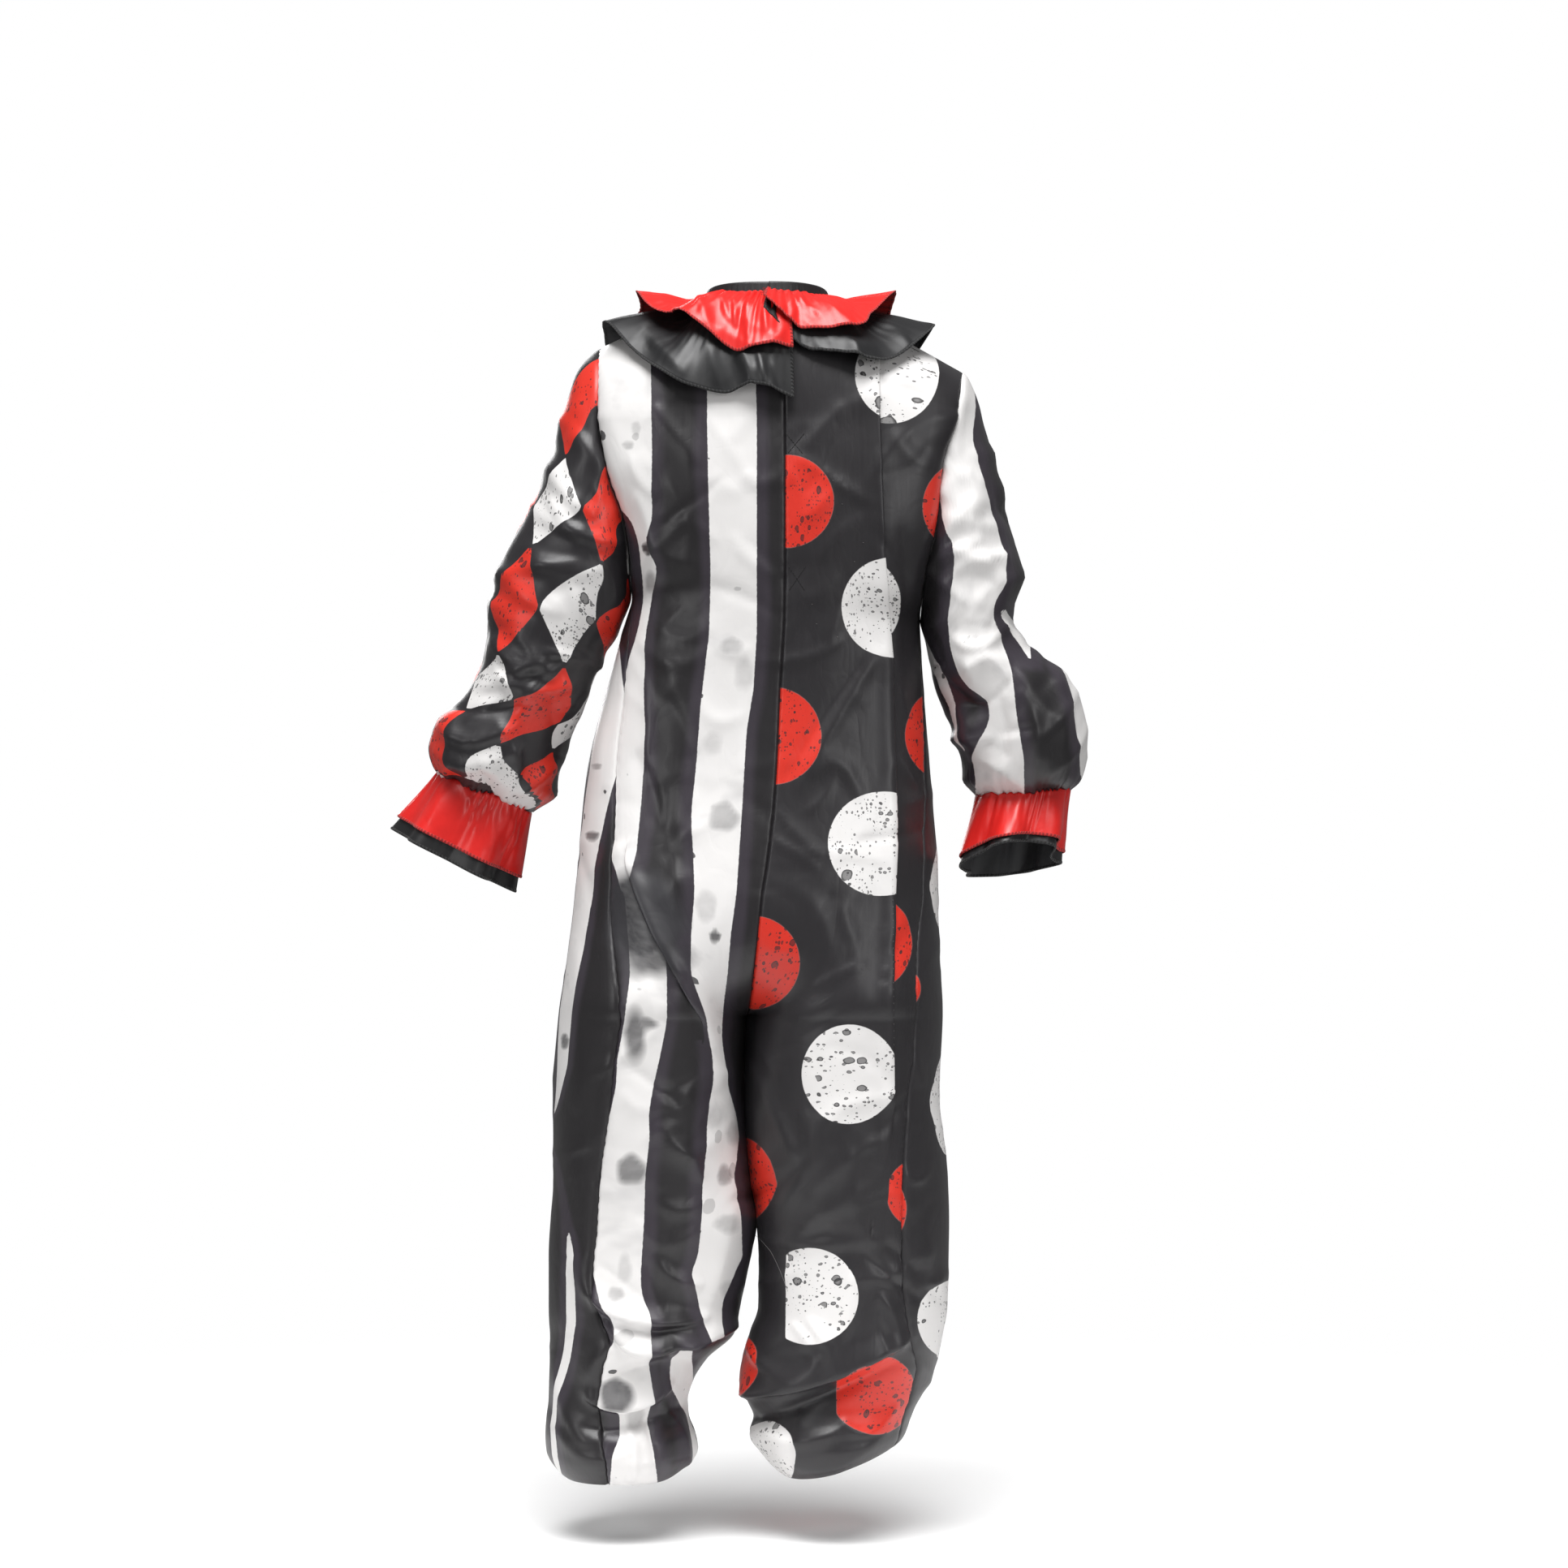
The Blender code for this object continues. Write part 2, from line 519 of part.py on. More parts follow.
def make_sleeve(side):
    """A set-in sleeve: from the armhole to the elastic at the wrist."""
    rings = [armhole_ring(side)]
    for ring in SLEEVE_RINGS[side]:
        rings.append(ring_points(*ring, SLEEVE_COLUMNS))
    cloth = {"left": "diamond_satin", "right": "stripe_satin"}
    cloth_shell(f"sleeve_{side}", np.array(rings), cloth[side], closed=True,
                outward=-SIDE_SIGN[side])


def make_cuff(side):
    """Two ruffles sewn on at the wrist elastic; the black one lies inside and shows below."""
    cuff = CUFFS[side]
    wrist = SLEEVE_RINGS[side][-1]
    angle = np.arange(CUFF_COLUMNS) * 2 * pi / CUFF_COLUMNS
    start = np.array([wrist.outer_x + wrist.inner_x, 2 * wrist.y, wrist.outer_z + wrist.inner_z]) / 2
    end = np.array([cuff.outer_x + cuff.inner_x, 2 * cuff.y, cuff.outer_z + cuff.inner_z]) / 2
    length = np.linalg.norm(end - start)
    radius = abs(cuff.outer_x - cuff.inner_x) / 2
    for name, inset, reach in (("red", 0.0, 1.0), ("black", CUFF_STEP, 1 + cuff.under_shows / length)):
        rows = []
        for f in CUFF_SEAM / length + np.array([0.0, 0.5 * reach, reach]):
            mix = [a + (b - a) * f for a, b in zip(wrist, cuff[:6])]
            wave = cuff.ruffle_height / radius * np.cos(cuff.ruffles * angle + cuff.phase)
            ring = ring_points(*mix, CUFF_COLUMNS, 1.0 + f * wave - inset / radius)
            ring[:, 2] += f * cuff.back_rise * np.sin(angle)
            rows.append(ring)
        cloth_shell(f"cuff_{name}_{side}", np.array(rows), f"{name}_satin", closed=True,
                    outward=-SIDE_SIGN[side])


# ---------------------------------------------------------------- neck band and ruffles
def lap(degrees_round):
    """1 where the right end lies over the left one, falling to 0 beyond."""
    return np.clip(1 - (LAP_FULL - degrees_round) / LAP_FADE, 0, 1)


def level_direction(degrees_round):
    """The level direction away from the neck's middle."""
    azimuth = np.radians(degrees_round)
    return np.stack([np.sin(azimuth), np.cos(azimuth), np.zeros_like(azimuth)], -1)


def make_neck_band():
    """A narrow stand at the neck, open at the centre back, its right end over its left."""
    turn = np.linspace(RIGHT_END, LEFT_END, BAND_COLUMNS)
    ring = neck_point(np.radians(turn))
    rows = []
    for f in (0.0, 1.0):
        row = ring + level_direction(turn) * (LAP_OUT * lap(turn) - BAND_LEAN * f)[:, None]
        row[:, 2] += BAND_SEAM + f * BAND_HEIGHT + LAP_RISE * lap(turn)
        rows.append(row)
    cloth_shell("neck_band", np.array(rows), "black_satin", outward=-1.0)


def chest_surface():
    """The whole suit's upper surface, without seam gaps, for what lies on it."""
    vertices = []
    faces = []
    for side in ("left", "right"):
        down = np.linspace(0.0, CHEST_LEVELS, CHEST_ROWS)
        along = np.tile(np.linspace(0.0, 1.0, CHEST_COLUMNS), (CHEST_ROWS, 1))
        first = len(vertices)
        vertices += suit_points(side, along, down).reshape(-1, 3).tolist()
        for i in range(CHEST_ROWS - 1):
            for j in range(CHEST_COLUMNS - 1):
                a = first + i * CHEST_COLUMNS + j
                faces.append((a, a + 1, a + CHEST_COLUMNS + 1, a + CHEST_COLUMNS))
    return BVHTree.FromPolygons(vertices, faces)


def drape_line(surface, azimuth, lengths):
    """The points at these lengths down the suit from the neck seam at an azimuth, with the
    direction that points away from the chest's middle."""
    middle = Vector(CHEST_MIDDLE)
    start = Vector(neck_point(azimuth).tolist())
    away = start - middle
    flat = Vector((away.x, away.y, 0.0))
    heading = flat.normalized()
    top = np.arctan2(away.z, flat.length)
    points = [start]
    for tilt in np.linspace(top, top - DRAPE_TURN, 96)[1:]:
        ray = heading * cos(tilt) + Vector((0, 0, sin(tilt)))
        hit = surface.ray_cast(middle + ray * DRAPE_REACH, -ray, DRAPE_REACH)[0]
        if hit is not None:
            points.append(hit)
    points = np.array([list(p) for p in points])
    run = np.concatenate([[0.0], np.cumsum(np.linalg.norm(np.diff(points, axis=0), axis=1))])
    line = np.stack([np.interp(lengths, run, points[:, k]) for k in range(3)], axis=1)
    outward = line - np.array(CHEST_MIDDLE)
    return line, outward / np.linalg.norm(outward, axis=1, keepdims=True)


def make_neck_ruffles():
    """Two ruffles sewn into the neck seam, the red over the longer black, open at the back."""
    surface = chest_surface()
    turn = np.linspace(RIGHT_END, LEFT_END, RUFFLE_COLUMNS)
    edges = np.array(sorted(RUFFLE_EDGES))
    red, black, red_lift, black_lift = [np.interp(turn, edges[:, 0], edges[:, c])
                                        for c in (1, 2, 3, 4)]
    for name, depth, lift, step in (("black", black, black_lift, 0.0),
                                    ("red", red, red_lift, RUFFLE_STEP)):
        rows = np.zeros((len(RUFFLE_ROWS), RUFFLE_COLUMNS, 3))
        for j, degrees_round in enumerate(turn):
            lengths = depth[j] * np.array(RUFFLE_ROWS)
            line, outward = drape_line(surface, radians(degrees_round), lengths)
            f = np.array(RUFFLE_ROWS)
            wave = RUFFLE_WAVE_HEIGHT * (1 + cos(radians(degrees_round) * RUFFLE_WAVES + 0.6))
            lapped = lap(degrees_round)
            stand = RUFFLE_STAND + step + f * (lift[j] + wave) + LAP_RISE * lapped
            rows[:, j] = line + outward * stand[:, None]
            seam_out = RUFFLE_SEAM_OUT + LAP_OUT * lapped
            rows[0, j] = neck_point(radians(degrees_round)) + level_direction(degrees_round) * seam_out
            rows[0, j, 2] += WALL + SEAM_SHARE * step + LAP_RISE * lapped
        cloth_shell(f"collar_{name}", rows, f"{name}_satin", outward=1.0)


# ---------------------------------------------------------------- build
for old in list(bpy.data.objects):
    bpy.data.objects.remove(old, do_unlink=True)
jumpsuit = bpy.data.collections.new("clown_jumpsuit")
bpy.context.scene.collection.children.link(jumpsuit)

make_panels()
for hand in ("left", "right"):
    make_sleeve(hand)
    make_cuff(hand)
make_neck_band()
make_neck_ruffles()
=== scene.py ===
from math import asin, cos, pi, radians, sin, tau
from typing import NamedTuple

import bpy
import numpy as np
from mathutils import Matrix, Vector
from mathutils.bvhtree import BVHTree


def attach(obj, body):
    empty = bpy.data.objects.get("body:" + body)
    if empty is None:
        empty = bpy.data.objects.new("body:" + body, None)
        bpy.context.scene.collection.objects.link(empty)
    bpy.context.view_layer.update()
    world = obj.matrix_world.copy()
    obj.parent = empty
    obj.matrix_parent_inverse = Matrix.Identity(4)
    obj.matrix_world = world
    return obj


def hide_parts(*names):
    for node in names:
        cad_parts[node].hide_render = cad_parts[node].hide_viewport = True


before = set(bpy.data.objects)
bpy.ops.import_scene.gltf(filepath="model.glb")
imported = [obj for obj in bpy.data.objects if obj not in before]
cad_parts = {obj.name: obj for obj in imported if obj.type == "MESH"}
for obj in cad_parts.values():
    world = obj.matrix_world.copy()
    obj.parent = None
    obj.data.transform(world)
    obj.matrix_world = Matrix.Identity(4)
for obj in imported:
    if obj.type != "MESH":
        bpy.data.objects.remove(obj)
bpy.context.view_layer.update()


# ================================================================ left half of the suit
# Back and front panels of printed polyester satin, white and charcoal stripes, cut with trunk
# and leg in one. They are joined to the right half at the centre seam and to each other at the
# side seam, and the leg's end is turned in.

class TorsoSection(NamedTuple):
    """A level of the trunk, in metres. arm is half the armhole's width; side is where the side
    seam lies, 0 at centre back, 0.5 at the body's side and 1 at centre front."""
    z: float
    seam: float
    left: float
    right: float
    back: float
    front: float
    arm_left: float
    arm_right: float
    side_left: float
    side_right: float


TORSO = [TorsoSection(*row) for row in (
    # z      seam     left    right    back   front   arm_l  arm_r  side_l side_r
    (-0.107, -0.0160, 0.1480, -0.1680, 0.084, 0.080, 0.050, 0.054, 0.500, 0.500),
    (-0.150, -0.0165, 0.1400, -0.1540, 0.090, 0.090, 0.052, 0.057, 0.500, 0.500),
    (-0.200, -0.0165, 0.1240, -0.1480, 0.092, 0.096, 0.045, 0.054, 0.500, 0.500),
    (-0.240, -0.0165, 0.1190, -0.1390, 0.091, 0.099, 0.028, 0.042, 0.500, 0.500),
    (-0.262, -0.0160, 0.1190, -0.1360, 0.090, 0.100, 0.000, 0.028, 0.500, 0.500),
    (-0.287, -0.0155, 0.1260, -0.1350, 0.089, 0.101, 0.000, 0.000, 0.400, 0.500),
    (-0.344, -0.0122, 0.1420, -0.1380, 0.088, 0.103, 0.000, 0.000, 0.333, 0.450),
    (-0.416, -0.0090, 0.1590, -0.1440, 0.092, 0.105, 0.000, 0.000, 0.300, 0.400),
    (-0.495, -0.0010, 0.1670, -0.1510, 0.104, 0.106, 0.000, 0.000, 0.275, 0.350),
    (-0.522, 0.0035, 0.1695, -0.1515, 0.108, 0.105, 0.000, 0.000, 0.270, 0.345),
    (-0.560, 0.0095, 0.1735, -0.1520, 0.111, 0.104, 0.000, 0.000, 0.270, 0.340),
    (-0.597, 0.0145, 0.1785, -0.1540, 0.110, 0.103, 0.000, 0.000, 0.280, 0.355),
)]


class LegSection(NamedTuple):
    """A level of the legs, in metres. rise lifts the outer side of the right leg's level."""
    z: float
    left_in: float
    left_out: float
    right_in: float
    right_out: float
    back: float
    front: float
    side_left: float
    side_right: float
    rise: float


LEGS = [LegSection(*row) for row in (
    # z      left_in  left_out right_in right_out back  front  side_l side_r rise
    (-0.632, 0.0179, 0.1840, 0.0180, -0.1555, 0.108, 0.102, 0.298, 0.372, 0.000),
    (-0.704, 0.0199, 0.1890, 0.0203, -0.1525, 0.104, 0.102, 0.310, 0.361, 0.000),
    (-0.776, 0.0148, 0.1890, 0.0152, -0.1600, 0.098, 0.100, 0.335, 0.335, 0.000),
    (-0.812, 0.0090, 0.1910, 0.0094, -0.1610, 0.095, 0.098, 0.337, 0.330, 0.000),
    (-0.848, 0.0150, 0.1930, 0.0070, -0.1610, 0.093, 0.096, 0.337, 0.330, 0.000),
    (-0.890, 0.0240, 0.1930, 0.0075, -0.1600, 0.093, 0.094, 0.320, 0.340, 0.000),
    (-0.913, 0.0290, 0.1920, 0.0145, -0.1560, 0.093, 0.092, 0.300, 0.360, 0.000),
    (-0.936, 0.0530, 0.1920, 0.0215, -0.1510, 0.086, 0.087, 0.295, 0.385, 0.000),
    (-0.956, 0.0655, 0.1925, 0.0245, -0.1440, 0.080, 0.081, 0.290, 0.400, 0.002),
    (-0.974, 0.0705, 0.1935, 0.0170, -0.1360, 0.078, 0.079, 0.285, 0.410, 0.005),
    (-0.988, 0.0695, 0.1955, 0.0120, -0.1300, 0.081, 0.083, 0.280, 0.415, 0.008),
    (-1.003, 0.0640, 0.1965, 0.0150, -0.1265, 0.085, 0.088, 0.280, 0.420, 0.013),
    (-1.017, 0.0615, 0.1955, 0.0060, -0.1240, 0.085, 0.087, 0.275, 0.420, 0.019),
    (-1.030, 0.0705, 0.1885, -0.0040, -0.1200, 0.078, 0.079, 0.275, 0.420, 0.024),
    (-1.040, 0.0850, 0.1760, -0.0190, -0.1080, 0.064, 0.064, 0.275, 0.420, 0.027),
    (-1.033, 0.0930, 0.1680, -0.0270, -0.1000, 0.054, 0.054, 0.275, 0.420, 0.027),
)]
HEM_LEVEL = len(TORSO) + len(LEGS)

NECK_HALF_WIDTH = 0.056
NECK_HALF_DEPTH = 0.053
NECK_FRONT_DROP = 0.030
NECK_POINT_AZIMUTH = radians(94)
NECK_SHARE = 0.36          # share of a panel's top edge that is neckline
BACK_OPENING_X = -0.0150   # centre-back seam at the neck
SHOULDER_CROWN = 0.004
SHOULDER_Y = -0.004
SHOULDER_TIP = {"left": (0.149, -0.042), "right": (-0.176, -0.064)}
YOKE_PULL = np.array((0.5, 0.92, 0.2))
CROTCH_TOP = -0.522
CROTCH_POINT = -0.632
CROTCH_FULLNESS = 0.48
TRUNK_ROUNDING = (0.85, 0.9)
FRONT_EDGE = 1e-6          # at 0.5 a level is the armhole's back edge, just past it the front's
SIDE_SIGN = {"left": 1.0, "right": -1.0}
FACE_SIGN = {"back": 1.0, "front": -1.0}

INNER_LEG = 0.020
CLOTH = 0.0009             # thickness of the satin
PANEL_STEP = 0.0036        # between the rows of a panel's mesh
HEM_FOLDS = -0.84
HEM_ROWS = 1.6             # times as many rows below there
PANEL_COLUMNS = (38, 34)   # from the centre seam to the lapped fold, and on to the side seam
SEAM_TURN = 0.0010         # the edges are turned in this far along a seam
SEAM_DIP = 0.0004          # the cloth dips this much into its seams
SEAM_DIP_WIDTH = 0.0035
PUCKER = 0.0003
PUCKER_PITCH = 0.011
PUCKER_DRIFT = (3, 23)     # how far and how fast their pitch wanders
VIEWPOINT = (-0.01512, 4.0, -0.42768)   # the back view that prints and creases are set out in
MILLIMETRE = 0.001


def smooth_rows(table, at):
    """The table's columns at row positions 0, 1, 2, ... and between, without overshoot."""
    values = np.asarray(table, dtype=float)
    steps = np.diff(values, axis=0)
    slopes = np.zeros_like(values)
    product = steps[:-1] * steps[1:]
    total = np.where(product > 0, steps[:-1] + steps[1:], 1.0)
    slopes[1:-1] = np.where(product > 0, 2.0 * product / total, 0.0)
    slopes[0] = steps[0]
    slopes[-1] = steps[-1]
    at = np.clip(np.asarray(at, dtype=float), 0.0, len(values) - 1.0)
    low = np.minimum(at.astype(int), len(values) - 2)
    f = (at - low)[..., None]
    return ((1 + 2 * f) * (1 - f) ** 2 * values[low] + f * (1 - f) ** 2 * slopes[low]
            + f * f * (3 - 2 * f) * values[low + 1] + f * f * (f - 1) * slopes[low + 1])


def neck_point(azimuth):
    """A point of the neck seam; azimuth 0 is the back, positive towards the wearer's left."""
    azimuth = np.asarray(azimuth)
    dip = NECK_FRONT_DROP * ((1 - np.cos(azimuth)) / 2) ** 2
    return np.stack([NECK_HALF_WIDTH * np.sin(azimuth), NECK_HALF_DEPTH * np.cos(azimuth), -dip], -1)


def top_edge(side, face, share):
    """A panel's top edge: share 0 at the centre seam, 1 at the shoulder tip."""
    start = asin(BACK_OPENING_X / NECK_HALF_WIDTH)
    if face == "front":
        start = pi - start if side == "left" else -pi - start
    end = SIDE_SIGN[side] * NECK_POINT_AZIMUTH
    on_neck = np.clip(share / NECK_SHARE, 0, 1)
    neck = neck_point(start + (end - start) * on_neck)
    tip_x, tip_z = SHOULDER_TIP[side]
    out = np.clip((share - NECK_SHARE) / (1 - NECK_SHARE), 0, 1)[..., None]
    line = neck + (np.array([tip_x, SHOULDER_Y, tip_z]) - neck) * out
    line[..., 2] += SHOULDER_CROWN * np.sin(pi * out[..., 0])
    return line


def section_columns(side, down):
    """The levels' columns for one side: z, inner, outer, back, front, arm, seam place, rise."""
    rows = []
    for t in TORSO:
        outer, arm, place = ((t.left, t.arm_left, t.side_left) if side == "left"
                             else (t.right, t.arm_right, t.side_right))
        rows.append((t.z, t.seam, outer, t.back, t.front, arm, place, 0.0))
    for g in LEGS:
        inner, outer, place, rise = ((g.left_in, g.left_out, g.side_left, 0.0) if side == "left"
                                     else (g.right_in, g.right_out, g.side_right, g.rise))
        rows.append((g.z, inner, outer, g.back, g.front, 0.0, place, rise))
    return smooth_rows(rows, np.asarray(down) - 1.0).T


def suit_points(side, along, down):
    """Points of one half of the suit. along (rows by columns) is 0 at centre back, 0.5 at the
    body's side and 1 at centre front; down is 0 at the top edge, 1 at the first level, and one
    more at each next level."""
    down = np.asarray(down, dtype=float)
    columns = section_columns(side, np.maximum(down, 1.0))
    z, inner, outer, back, front, arm, _, rise = [c[:, None] for c in columns]
    depth = np.where(along <= 0.5, back, front)
    face = np.where(along <= 0.5, 1.0, -1.0)
    sine = np.abs(np.sin(pi * along))
    cosine = np.abs(np.cos(pi * along))
    turn = np.clip((CROTCH_TOP - z) / (CROTCH_TOP - CROTCH_POINT), 0, 1)
    turning = (turn > 0) & (turn < 1)
    leg = 1 - np.cos(turn * pi / 2)
    torso_x = inner + (outer - inner) * sine ** TRUNK_ROUNDING[0]
    torso_y = face * (arm + (depth - arm) * cosine ** TRUNK_ROUNDING[1])
    leg_x = (inner + outer) / 2 - (outer - inner) / 2 * np.cos(tau * along)
    leg_y = depth * np.sin(tau * along)
    x = (1 - leg) * torso_x + leg * leg_x
    y = ((1 - leg) * torso_y + leg * leg_y) * (1 + CROTCH_FULLNESS * leg * (1 - leg))
    drop = (CROTCH_TOP - CROTCH_POINT) * (1 - np.sin(turn * pi / 2))
    centre_z = np.where(turning, CROTCH_POINT + drop, z)
    level_z = centre_z + (z - centre_z) * sine + rise * (1 - np.cos(tau * along)) / 2
    points = np.stack([x, y, level_z], axis=-1)
    top = down < 1
    if top.any():
        share = np.where(along <= 0.5, 2 * along, 2 - 2 * along)
        edge = np.where((along <= 0.5)[..., None], top_edge(side, "back", share),
                        top_edge(side, "front", share))
        crown = edge + (points - edge) * YOKE_PULL
        f = np.clip(down, 0, 1)[:, None, None]
        rounded = (1 - f) ** 2 * edge + 2 * f * (1 - f) * crown + f * f * points
        points = np.where(top[:, None, None], rounded, points)
    return points


def seen(points, face="back"):
    """Millimetres left of and above the neck's middle, as points show from VIEWPOINT on the
    plane y = 0. For the front, from the same distance on the other side."""
    y = points[..., 1] * FACE_SIGN[face]
    scale = VIEWPOINT[1] / (VIEWPOINT[1] - y)
    x = VIEWPOINT[0] + (points[..., 0] - VIEWPOINT[0]) * scale
    z = VIEWPOINT[2] + (points[..., 2] - VIEWPOINT[2]) * scale
    return np.stack([x, z], -1) / MILLIMETRE


def unit(vectors):
    """The vectors, each made one long."""
    return vectors / np.maximum(np.linalg.norm(vectors, axis=-1, keepdims=True), 1e-9)


def grid_normals(grid, closed=False):
    """Unit normals of a grid of points, rows by columns."""
    if closed:
        wide = np.concatenate([grid[:, -1:], grid, grid[:, :1]], axis=1)
        across = np.gradient(wide, axis=1)[:, 1:-1]
    else:
        across = np.gradient(grid, axis=1)
    return unit(np.cross(across, np.gradient(grid, axis=0)))


def runs(grid, axis):
    """Lengths along the grid's lines from their first point."""
    steps = np.linalg.norm(np.diff(grid, axis=axis), axis=2)
    start = np.zeros_like(steps[:, :1] if axis == 1 else steps[:1])
    return np.concatenate([start, np.cumsum(steps, axis=axis)], axis=axis)


class Crease(NamedTuple):
    """A crease as seen, in millimetres: its start, middle and end, the half width of its ridge
    (a trough where height is negative), and how far its lip hangs down."""
    x0: float
    z0: float
    x1: float
    z1: float
    x2: float
    z2: float
    width: float
    height: float
    sag: float = 0.0


def crease_set(back, front=()):
    """The creases of each face, from rows of their values."""
    return {"back": [Crease(*row) for row in back], "front": [Crease(*row) for row in front]}


